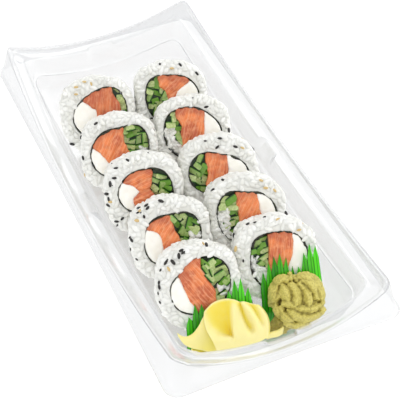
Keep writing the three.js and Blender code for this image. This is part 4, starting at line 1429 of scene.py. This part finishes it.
@dataclass
class Sesame:
    """Sesame seeds stuck on the rice: those in sight at their own places, the others at random."""

    studio: Studio
    scatter: Scatter
    hidden_per_roll: int = 12
    length: float = 2.6
    width: float = 1.3
    height: float = 0.9
    proud: float = 0.3
    tan_share: float = 0.25
    turned_away: float = -0.15

    def build(self, finish: Material) -> None:
        """Makes all seeds as one piece."""
        pieces = [bpy.data.objects[place.node("rice_grains")] for place in ROLLS]
        bpy.context.view_layer.update()
        depsgraph = bpy.context.evaluated_depsgraph_get()
        trees = [BVHTree.FromObject(piece, depsgraph) for piece in pieces]
        rows = []
        for tint, seeds in ((0.0, BLACK_SEEDS), (1.0, TAN_SEEDS)):
            for x, y, turn, share in seeds:
                rows += self.seen(trees, (x, y), turn, tint, share)
        chance = random.Random(5)
        for piece in pieces:
            rows += self.unseen(piece, chance)
        seeds = self.scatter.put("sesame_seeds", rows, (self.length, self.width, self.height), finish)
        hand_over(seeds, Slot.RICE, None)

    def seen(self, trees: list, pixel: tuple, turn: float, tint: float, share: float) -> list:
        """The row of one seed in sight, on the rice nearest to its line of sight."""
        eye, ray = self.studio.eye() * MM, self.studio.ray(*pixel)
        hits = [tree.ray_cast(eye, ray) for tree in trees]
        hits = [hit for hit in hits if hit[0] is not None]
        if hits:
            place, normal = min(hits, key=lambda hit: hit[3])[:2]
        else:
            passing = [eye + ray * (Vector(roll.to_world(np.zeros(3))) * MM - eye).dot(ray) for roll in ROLLS]
            found = [tree.find_nearest(point) for tree, point in zip(trees, passing)]
            place, normal, _, distance = min(found, key=lambda near: near[3])
            LOG.info("a seed at %s moved %.1f mm to the rice", pixel, distance / MM)
        right, up = self.studio.frame_axes()
        along = right * math.cos(math.radians(turn)) + up * math.sin(math.radians(turn))
        facing = (normal + 0.6 * self.studio.back()).normalized()
        spot = np.array(place) / MM + np.array(normal) * self.proud
        return [(spot, np.array(facing), np.array(along), tint, share)]

    def unseen(self, piece: Object, chance: random.Random) -> list:
        """Rows of seeds at random places that face away from the camera."""
        polygons = piece.data.polygons
        away, rows = self.studio.back(), []
        while len(rows) < self.hidden_per_roll:
            face = polygons[chance.randrange(len(polygons))]
            along = Vector((chance.uniform(-1, 1), chance.uniform(-1, 1), chance.uniform(-1, 1)))
            if face.normal.dot(away) > self.turned_away:
                continue
            tint = 1.0 if chance.random() < self.tan_share else 0.0
            place = np.array(face.center) / MM + np.array(face.normal) * self.proud
            rows.append((place, np.array(face.normal), np.array(along), tint, chance.uniform(0.8, 1.15)))
        return rows


# ---------- what stands before the rolls ----------


def roll_place(name: str) -> RollPlace:
    """The place of the roll with this name."""
    return next(place for place in ROLLS if place.name == name)


@dataclass
class GrassDivider:
    """A pleated green film that stands on the floor, bends at the roll's foot and leans on its face."""

    name: str
    roll: str
    start: float
    end: float
    taper: float
    top: Callable
    sheet: float = 0.4
    clear: float = 0.9
    knee_drop: float = 21.6
    tooth_pitch: float = 3.1
    floor_y: float = -102.9
    floor_z: float = 1.4
    notch_depth: float = 7.0
    per_tooth: int = 8
    rows: int = 18
    foot_rows: int = 3

    def edge_height(self, place: float) -> float:
        """The film's top at a place counted in half teeth, straight between its tips and notches."""
        teeth = 2 * round((self.end - self.start) / self.tooth_pitch)

        def corner(i: int) -> float:
            """The top at a tip or at a notch."""
            peak = float(self.top(i / teeth))
            notch = min(self.notch_depth, 0.4 * (peak + self.knee_drop))
            if i % 2 == 1:
                return peak + 1.2 * math.sin(2.3 * i)
            return peak - notch - math.sin(3.1 * i)

        i = min(int(place), teeth - 1)
        return corner(i) + (corner(i + 1) - corner(i)) * (place - i)

    def build(self, finish: Material) -> None:
        """Makes the film with its creases, with painted shade along them and painted light up the film and
        towards its right end.
        """
        teeth = round((self.end - self.start) / self.tooth_pitch)
        columns = teeth * self.per_tooth
        place = roll_place(self.roll)
        grid = np.zeros((self.rows, columns + 1, 3))
        crease = np.zeros((self.rows, columns + 1))
        bright = np.zeros((self.rows, columns + 1))
        for i in range(columns + 1):
            s = i / columns
            across = abs((i / self.per_tooth) % 1 * 2 - 1)
            for j in range(self.rows):
                rise = max(0.0, (j - self.foot_rows) / (self.rows - 1 - self.foot_rows))
                right = self.start + (self.end - self.start) * s - self.taper * s * rise
                wave = 0.45 * math.sin(right * 0.55) + 0.3 * (1 - across)
                out = self.clear + 0.45 + wave
                fold = 0.55 * smooth_step(0.3, 0.0, across)
                # Painted shade along the creases and pleat folds.
                crease[j, i] = max(smooth_step(0.72, 1.0, across), fold)
                blade = 0.5 + 0.5 * math.sin(2.4 * (i // self.per_tooth) + 0.7 * self.start)
                # A tone for each blade, with painted light higher up and towards the right end.
                bright[j, i] = min(1.0, 0.5 * blade + 0.3 * rise + 0.5 * s**2)
                knee = place.to_world(np.array([right, -self.knee_drop, out]))
                if j < self.foot_rows:
                    foot = np.array([knee[0], max(knee[1], self.floor_y), self.floor_z])
                    grid[j, i] = foot + (knee - foot) * j / self.foot_rows
                    continue
                top = self.edge_height(2 * i / self.per_tooth)
                up = -self.knee_drop + (top + self.knee_drop) * rise
                grid[j, i] = place.to_world(np.array([right, up, out]))
        film = thin_solid(self.name + "_film", grid, self.sheet)
        mark(film, TINT, np.tile(crease.ravel(), 2))
        mark(film, SKIN, np.tile(bright.ravel(), 2))
        hand_over(film, Slot.DIVIDER, finish, self.name)


@dataclass
class WasabiRosette:
    """Piped wasabi: a dome of twisting ridges against the divider, with a smear at its foot."""

    studio: Studio
    centre: tuple = (6.6, -18.2, 3.1)
    radius: float = 12.9
    shrink: float = 1.5
    height: float = 11.0
    ridges: int = 8
    depth: float = 0.2
    twist: float = -1.2
    rows: int = 44
    per_ridge: int = 18
    smear: tuple = (5.4, -104.6, 8.6)
    smear_radii: tuple = (6.2, 3.6, 5.8)
    line_steps: int = 30
    line_corners: int = 14
    face_size: float = 0.35

    @staticmethod
    def girth(t: float) -> float:
        """The dome's share of its full radius, from its foot at 0 to its top at 1."""
        if t <= 0.08:
            return 0.8 + 2.2 * t
        return math.cos(math.pi / 2 * max(0.0, (t - 0.12) / 0.96)) ** 0.62

    def build(self, finish: Material) -> None:
        """Makes the dome and the smear as one paste."""
        place = roll_place("r5")
        count = self.ridges * self.per_ridge
        angle = np.arange(count) / count * FULL_TURN
        groove = (0.5 - 0.5 * np.cos(self.ridges * angle)) ** 1.8
        rings = []
        for t in np.arange(self.rows + 1) / self.rows:
            reach = self.radius * self.girth(t) * (1 - self.depth * 1.15 * groove)
            turned = angle + self.twist * t
            right = self.centre[0] + reach * np.cos(turned) - 0.6 * t
            up = self.centre[1] + reach * np.sin(turned) - 3 * t
            out = self.centre[2] + self.height * t - 0.6 * groove * t
            rings.append(place.to_world(np.stack([right, up, out], 1)))
        dome = lofted("wasabi_rosette", np.array(rings))
        self.pipe_lines(dome)
        # Painted shade: the deeper a spot lies below its surroundings, the darker its colour.
        mark(dome, TINT, smooth_step(-0.12, 0.42, hollowness(dome, 24)))
        roughen(dome, 2.2, 0.26, 3)
        roughen(dome, 1.0, 0.4, 4)
        hand_over(dome, Slot.WASABI, finish, "wasabi")
        self.build_smear(finish)

    def pipe_lines(self, dome: Object) -> None:
        """Lays the piped lines over the dome and melts all into one body."""
        bpy.context.view_layer.update()
        tree = BVHTree.FromObject(dome, bpy.context.evaluated_depsgraph_get())
        lift(dome, -self.shrink)
        whole = bmesh.new()
        whole.from_mesh(dome.data)
        middle = Vector(corners(dome).mean(0)) * MM
        back = np.array(self.studio.back())
        around = np.linspace(0, FULL_TURN, self.line_corners, endpoint=False)
        broad = np.cos(around) * (1.1 - 0.8 * np.maximum(0, np.sin(around)))
        high = np.sin(around) * 1.25
        for line, radius in PIPED:
            path = catmull(np.array(line, float), np.linspace(0, 1, self.line_steps))
            centres = np.array([self.studio.meet(tree, x, y, middle) for x, y in path]) / MM
            for _ in range(4):
                centres[1:-1] = (centres[:-2] + 2 * centres[1:-1] + centres[2:]) / 4
            along = np.gradient(centres, axis=0)
            along /= np.linalg.norm(along, axis=1, keepdims=True)
            side = np.cross(along, back)
            side /= np.linalg.norm(side, axis=1, keepdims=True)
            over = np.cross(side, along)
            inwards = np.sin(np.linspace(0.35, math.pi - 0.35, len(centres)))
            thick = radius * inwards**0.35 + 0.2 * waver(centres, 2.5, radius)
            sunk = radius * 0.5 + 1.6 * (1 - inwards) ** 2
            centres = centres - np.outer(sunk, back)
            rings = []
            for centre, size, sideways, upwards in zip(centres, thick, side, over):
                rings.append(centre + size * (np.outer(broad, sideways) + np.outer(high, upwards)))
            tube = lofted("piped line", np.array(rings))
            whole.from_mesh(tube.data)
            bpy.data.objects.remove(tube)
        whole.to_mesh(dome.data)
        whole.free()
        even_out(dome, self.face_size, 1)

    def build_smear(self, finish: Material) -> None:
        """Makes the crumbly smear at the rosette's foot."""
        ball = bmesh.new()
        bmesh.ops.create_icosphere(ball, subdivisions=5, radius=1.0)
        mesh = bpy.data.meshes.new("wasabi_smear")
        ball.to_mesh(mesh)
        ball.free()
        smear = linked("wasabi_smear", mesh)
        points = corners(smear) * MM * np.array(self.smear_radii) + np.array(self.smear)
        move_corners(smear, points)
        roughen(smear, 2.6, 0.8, 8)
        roughen(smear, 1.1, 0.6, 9)
        mark(smear, TINT, 0.5 + 0.5 * np.clip(waver(corners(smear), 1.6, 5), -1, 1))
        mesh.shade_smooth()
        hand_over(smear, Slot.WASABI, finish)


# Nets of the two slices: each row runs from a fold's top to its foot, as a place in the picture in pixels
# and how far it stands out of the roll's face in millimetres.
HOOD = (
    ((204.5, 312, 5.5), (204.3, 320, 6.5), (206.5, 330, 7.5),
     (210, 337, 8.2), (213, 342, 8.2), (218, 352, 6.5)),
    ((206.5, 309, 4.6), (207, 318, 5.0), (210, 328, 5.8),
     (213.5, 335, 7.6), (217, 341, 8.2), (221, 352, 6.8)),
    ((212, 303.5, 3.8), (213.5, 315, 3.8), (216.5, 326, 4.0),
     (219.5, 333.5, 5.6), (223, 339.5, 8.2), (225, 352, 7.2)),
    ((219, 300, 3.4), (221, 313, 3.3), (223.5, 325, 3.3),
     (226, 333.5, 4.4), (228.5, 338.5, 8.2), (229.5, 351, 7.3)),
    ((227, 298.6, 3.4), (228.5, 312, 3.3), (230, 325, 3.2),
     (231.5, 334.5, 3.6), (233, 338.5, 7.9), (233.5, 350, 7.3)),
    ((232.5, 299.3, 4.2), (233.6, 310, 6.6), (234, 322, 8.0),
     (235, 332, 8.6), (237, 339, 8.6), (238.5, 348.6, 7.2)),
    ((237, 300.8, 4.2), (238.5, 309.5, 5.4), (241, 319, 6.6),
     (244.5, 329, 7.8), (247, 337, 8.4), (247.5, 346, 7.0)),
    ((240, 302, 3.6), (242.5, 310.5, 3.8), (245.5, 319.5, 4.0),
     (250.5, 328, 4.6), (254, 334.5, 7.4), (255, 343, 6.6)),
    ((242, 301.8, 5.4), (247.5, 308, 7.2), (252.5, 315.5, 7.6),
     (256.5, 324, 7.6), (259, 331, 7.8), (260, 341, 6.2)),
    ((249, 303, 3.6), (253.5, 309, 4.0), (257.5, 316, 4.6),
     (261.5, 323, 5.4), (263.5, 329.5, 6.6), (264, 339, 5.8)),
    ((257, 304.8, 5.0), (261.5, 309.8, 6.0), (265, 316, 6.4),
     (267, 323, 6.4), (267.6, 329, 6.0), (267, 337.5, 5.2)),
    ((260, 306.5, 3.0), (265, 311.8, 3.2), (268, 318, 3.3),
     (269.3, 324, 3.3), (269.4, 329, 3.2), (268.4, 336.5, 3.0)),
)

WING = (
    ((177.3, 333.3, 5.0), (177.6, 334.5, 5.2), (178.2, 336, 5.2)),
    ((182, 336, 5.0), (182.2, 339, 5.4), (183, 343, 5.4)),
    ((187, 336.4, 4.8), (187.5, 341, 5.6), (189, 347, 5.4)),
    ((193, 333.4, 4.4), (194, 340, 5.4), (196, 349, 5.2)),
    ((198, 327, 4.8), (200, 336, 5.2), (202, 350, 4.2)),
    ((202.4, 318.5, 5.0), (204.8, 331, 5.0), (209, 352, 3.4)),
    ((206, 311.5, 4.8), (209.5, 327, 4.4), (217, 351, 3.2)),
)

# The wasabi's piped lines: places in the picture in pixels, and the line's radius in millimetres.
PIPED = (
    (((290, 281), (282, 280.5), (276.5, 287), (274, 297), (273.5, 307)), 2.9),
    (((288, 291), (280, 294.5), (276, 301), (276.5, 309), (281, 316), (287, 320)), 1.9),
    (((282, 285), (284.5, 291), (287, 296.5), (288.5, 301)), 2.7),
    (((290, 284), (294, 290), (296.5, 297.5), (296.5, 305)), 2.6),
    (((298, 283), (303.5, 288.5), (307.5, 296), (309, 305)), 2.2),
    (((303, 280.5), (310.5, 285), (314.5, 292.5), (316, 301)), 2.6),
    (((298, 278), (306, 277.5), (314, 281.5), (319.5, 290), (321.5, 299)), 2.7),
    (((282, 304.5), (289, 304), (295.5, 307.5)), 1.5),
    (((295, 309), (303, 309), (311, 309.5), (318, 306.5), (323.5, 302)), 1.6),
    (((290.5, 308), (293.5, 313.5), (300, 317), (308, 317.5), (317, 314), (323.5, 308.5)), 2.4),
    (((280, 306), (282.5, 312), (287.5, 317), (294, 321.5)), 2.2),
    (((284, 322), (292, 323.5), (300, 324.5), (309, 322.5), (317, 317)), 2.4),
    (((290, 281), (290.5, 276.5), (289, 272)), 1.3),
    (((299, 282), (295.5, 279), (292.5, 276)), 1.4),
)


@dataclass
class GingerSlices:
    """Pickled ginger: a folded hood, a wing, the folds under them and a strip by the wall."""

    finish: Material
    studio: Studio
    slice: float = 0.8

    def build(self) -> None:
        """Makes all slices."""
        self.folded("ginger_hood", HOOD, 150, 70, 1.0)
        self.folded("ginger_wing", WING, 60, 30, 0.55)
        self.build_base()
        self.build_strip()

    def folded(self, node: str, net: tuple, columns: int, rows: int, depth: float) -> None:
        """Makes one folded slice through a net before the roll's face.

        Args:
            node: the CAD node that it stands for.
            net: its folds.
            columns: how many points it has along its folds.
            rows: how many from top to foot.
            depth: how strong the painted shade of its hollows gets, from 0 to 1.
        """
        s, t = np.linspace(0, 1, columns), np.linspace(0, 1, rows)
        place = roll_place("l5")
        eye = place.to_roll(np.array(self.studio.eye()))
        values = np.array([[self.spot(place, eye, *row) for row in fold] for fold in net])
        lines = catmull(values.transpose(1, 0, 2), t)
        grid = catmull(lines.transpose(1, 0, 2), s).transpose(1, 0, 2)
        world = place.to_world(grid.reshape(-1, 3)).reshape(rows, columns, 3)
        # Painted shade: the further a spot lies back towards the roll, the deeper its yellow, fading at the
        # slice's edges.
        hollow = 1 - smooth_step(3.0, 6.2, grid[..., 2])
        from_sides, from_ends = np.minimum(s, 1 - s)[None, :], np.minimum(t, 1 - t)[:, None]
        edge = np.minimum(from_sides * 30, from_ends * 16)
        wave = waver(world, 5.0, depth).reshape(rows, columns)
        world = world + grid_normals(world) * (0.25 * wave)[..., None]
        piece = thin_solid(node + "_slice", world, self.slice)
        deep = np.clip(depth * hollow, 0, 1) * smooth_step(0.3, 1, edge)
        mark(piece, TINT, np.tile(deep.ravel(), 2))
        hand_over(piece, Slot.GINGER, self.finish, node)

    def spot(self, place: RollPlace, eye: np.ndarray, x: float, y: float, out: float) -> np.ndarray:
        """Where the line of sight through a pixel is this far out of the roll's face, in the roll's frame."""
        ray = np.array(self.studio.ray(x, y)) @ place.axes()
        return eye + ray * (out - eye[2]) / ray[2]

    def build_base(self) -> None:
        """Makes the slices that lie pressed between the divider, the floor and the wall, with painted shade
        in the grooves between their layers.
        """
        piece = softened("ginger_base", "ginger_base_folds", 0.4, 3)
        points = corners(piece)
        layers = np.sin(points[:, 2] * 2.6 + 1.2 * np.sin(points[:, 0] * 0.5))
        lift(piece, layers * 0.28)
        # Painted shade: deeper yellow where the layers are pushed in, paler where they stand out.
        mark(piece, TINT, 0.55 - 0.4 * layers)
        hand_over(piece, Slot.GINGER, self.finish, "ginger_base")

    def build_strip(self) -> None:
        """Makes the thin slice along the near wall."""
        columns, rows = 30, 10
        s = np.linspace(0, 1, columns)[None, :] * np.ones((rows, 1))
        t = np.linspace(0, 1, rows)[:, None] * np.ones((1, columns))
        x = -4.2 + 8.2 * s
        y = -109.3 - 0.5 * np.sin(math.pi * s) - 0.5 * t
        z = 8.4 + (4.3 + 1.2 * s) * t + 0.4 * np.sin(6 * s)
        piece = thin_solid("ginger_strip_slice", np.stack([x, y, z], 2), self.slice)
        mark(piece, TINT, np.full(len(piece.data.vertices), 0.2))
        hand_over(piece, Slot.GINGER, self.finish, "ginger_strip")


# ---------- studio ----------


@dataclass
class Studio:
    """The camera, a plain pale floor and soft lights."""

    target: tuple = (2.627, -18.513, 13.0)
    azimuth: float = -24.308
    elevation: float = 45.979
    distance: float = 625.375
    roll: float = 0.098
    focal_pixels: float = 1220.6

    def back(self) -> Vector:
        """The direction from the target to the camera."""
        a, e = math.radians(self.azimuth), math.radians(self.elevation)
        return Vector((math.sin(a) * math.cos(e), -math.cos(a) * math.cos(e), math.sin(e)))

    def eye(self) -> Vector:
        """The camera's place in millimetres."""
        return Vector(self.target) + self.back() * self.distance

    def frame_axes(self) -> tuple[Vector, Vector]:
        """Right and up in the picture."""
        right = Vector((0, 0, 1)).cross(self.back()).normalized()
        up = self.back().cross(right)
        turn = math.radians(self.roll)
        return right * math.cos(turn) + up * math.sin(turn), up * math.cos(turn) - right * math.sin(turn)

    def ray(self, x: float, y: float) -> Vector:
        """The direction in which the camera sees a place of the picture, in its pixels."""
        right, up = self.frame_axes()
        half = PICTURE_SIDE / 2
        across, rise = (x - half) / self.focal_pixels, (half - y) / self.focal_pixels
        return (right * across + up * rise - self.back()).normalized()

    def meet(self, tree: BVHTree, x: float, y: float, middle: Vector) -> Vector:
        """Finds the place of a body that the camera sees through a pixel, or else one right beside it.

        Args:
            tree: the body's faces.
            x: the pixel from the left.
            y: the pixel from the top.
            middle: the body's middle in metres.

        Returns:
            The place in metres.
        """
        eye, ray = self.eye() * MM, self.ray(x, y)
        place = tree.ray_cast(eye, ray)[0]
        if place is not None:
            return place
        beside = tree.find_nearest(eye + ray * (middle - eye).dot(ray))[0]
        return eye + ray * (beside - eye).dot(ray)

    def build(self) -> None:
        """Makes the camera, the floor and the lights."""
        data = bpy.data.cameras.new("camera")
        data.sensor_width = 36
        data.lens = 36 * self.focal_pixels / PICTURE_SIDE
        data.clip_start, data.clip_end = 0.01, 20
        camera = linked("camera", data)
        right, up = self.frame_axes()
        camera.matrix_world = Matrix((right, up, self.back())).transposed().to_4x4()
        camera.location = self.eye() * MM
        bpy.context.scene.camera = camera
        self._floor()
        self._world()
        self._lamp("key", (0.75, 0.5, 1.1), 1.3, 4.6)
        self._lamp("fill", (-0.45, -0.95, 0.95), 1.3, 3.6)
        self._lamp("left side", (-1.15, 0.1, 0.5), 1.2, 2.2)
        self._lamp("right side", (1.15, -0.25, 0.5), 1.2, 4.4)
        bpy.context.scene.view_settings.view_transform = "Standard"

    @staticmethod
    def _floor() -> None:
        """A wide plain table top, lit evenly from within so that the tray throws only a faint shadow."""
        points = 3000.0 * np.array([(-1, -1, 0), (1, -1, 0), (1, 1, 0), (-1, 1, 0)])
        floor = mesh_object("floor", points, [(0, 1, 2, 3)], mend=False)
        made = Finish("pale floor")
        made.set(Base_Color=(0.35, 0.35, 0.35, 1.0), Roughness=0.9)
        made.set(Emission_Color=(1.0, 1.0, 1.0, 1.0), Emission_Strength=0.74)
        floor.data.materials.append(made.material)

    @staticmethod
    def _world() -> None:
        """A pale surround that is brighter overhead."""
        world = bpy.data.worlds.new("surround")
        world.use_nodes = True
        world.node_tree.nodes.clear()
        wiring = Wiring(world.node_tree)
        place = wiring.add("ShaderNodeTexCoord").outputs["Generated"]
        height = wiring.add("ShaderNodeSeparateXYZ", {0: place}).outputs[2]
        share = wiring.spread(height, -0.1, 0.7)
        colour = wiring.blend(share, (0.94, 0.945, 0.95, 1.0), (1.0, 1.0, 1.0, 1.0))
        sky = wiring.add("ShaderNodeBackground", {"Color": colour, "Strength": 0.86})
        wiring.add("ShaderNodeOutputWorld", {"Surface": sky.outputs[0]})
        bpy.context.scene.world = world

    @staticmethod
    def _lamp(name: str, place: tuple, side: float, power: float) -> None:
        """A square soft light that faces the tray's middle."""
        data = bpy.data.lights.new(name, "AREA")
        data.shape, data.size, data.energy = "SQUARE", side, power
        lamp = linked(name, data)
        lamp.location = place
        lamp.rotation_mode = "QUATERNION"
        lamp.rotation_quaternion = (-Vector(place)).to_track_quat("-Z", "Y")


def near_ginger_top(s: float) -> float:
    """The left divider's tips along its length."""
    start = -15 + 9 * smooth_step(0, 0.2, s) - 2 * smooth_step(0.25, 0.4, s)
    return float(start + 11 * smooth_step(0.5, 0.75, s) - 4.7 * smooth_step(0.8, 1, s))


def near_wasabi_top(s: float) -> float:
    """The right divider's tips along its length."""
    start = -6 + 10 * smooth_step(0, 0.3, s) - 7.5 * smooth_step(0.35, 0.55, s)
    return float(start + 9.5 * smooth_step(0.6, 0.85, s))


def main() -> None:
    """Builds the studio and every piece of the tray in turn."""
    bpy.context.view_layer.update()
    Finish.effects = Effects()
    studio = Studio()
    studio.build()
    looks = {
        Slot.TRAY: clear_plastic(),
        Slot.RICE: rice(),
        Slot.NORI: nori(),
        Slot.SALMON: salmon(),
        Slot.CHEESE: cream_cheese(),
        Slot.CUCUMBER: cucumber(),
        Slot.GINGER: ginger(),
        Slot.WASABI: wasabi(),
        Slot.DIVIDER: grass_plastic(),
    }
    scatter = Scatter(looks)
    ClearTray().build(looks[Slot.TRAY])
    for number, place in enumerate(ROLLS):
        SalmonRoll(place, looks, scatter, 11 + number).build()
    Sesame(studio, scatter).build(seed_coat())
    GrassDivider("divider_ginger", "l5", -7.5, 24, 0, near_ginger_top).build(looks[Slot.DIVIDER])
    GrassDivider("divider_wasabi", "r5", -9.5, 20.5, 1.6, near_wasabi_top).build(looks[Slot.DIVIDER])
    GingerSlices(looks[Slot.GINGER], studio).build()
    WasabiRosette(studio).build(looks[Slot.WASABI])


if __name__ == "__main__":
    logging.basicConfig(level=logging.INFO, format="%(message)s")
    main()
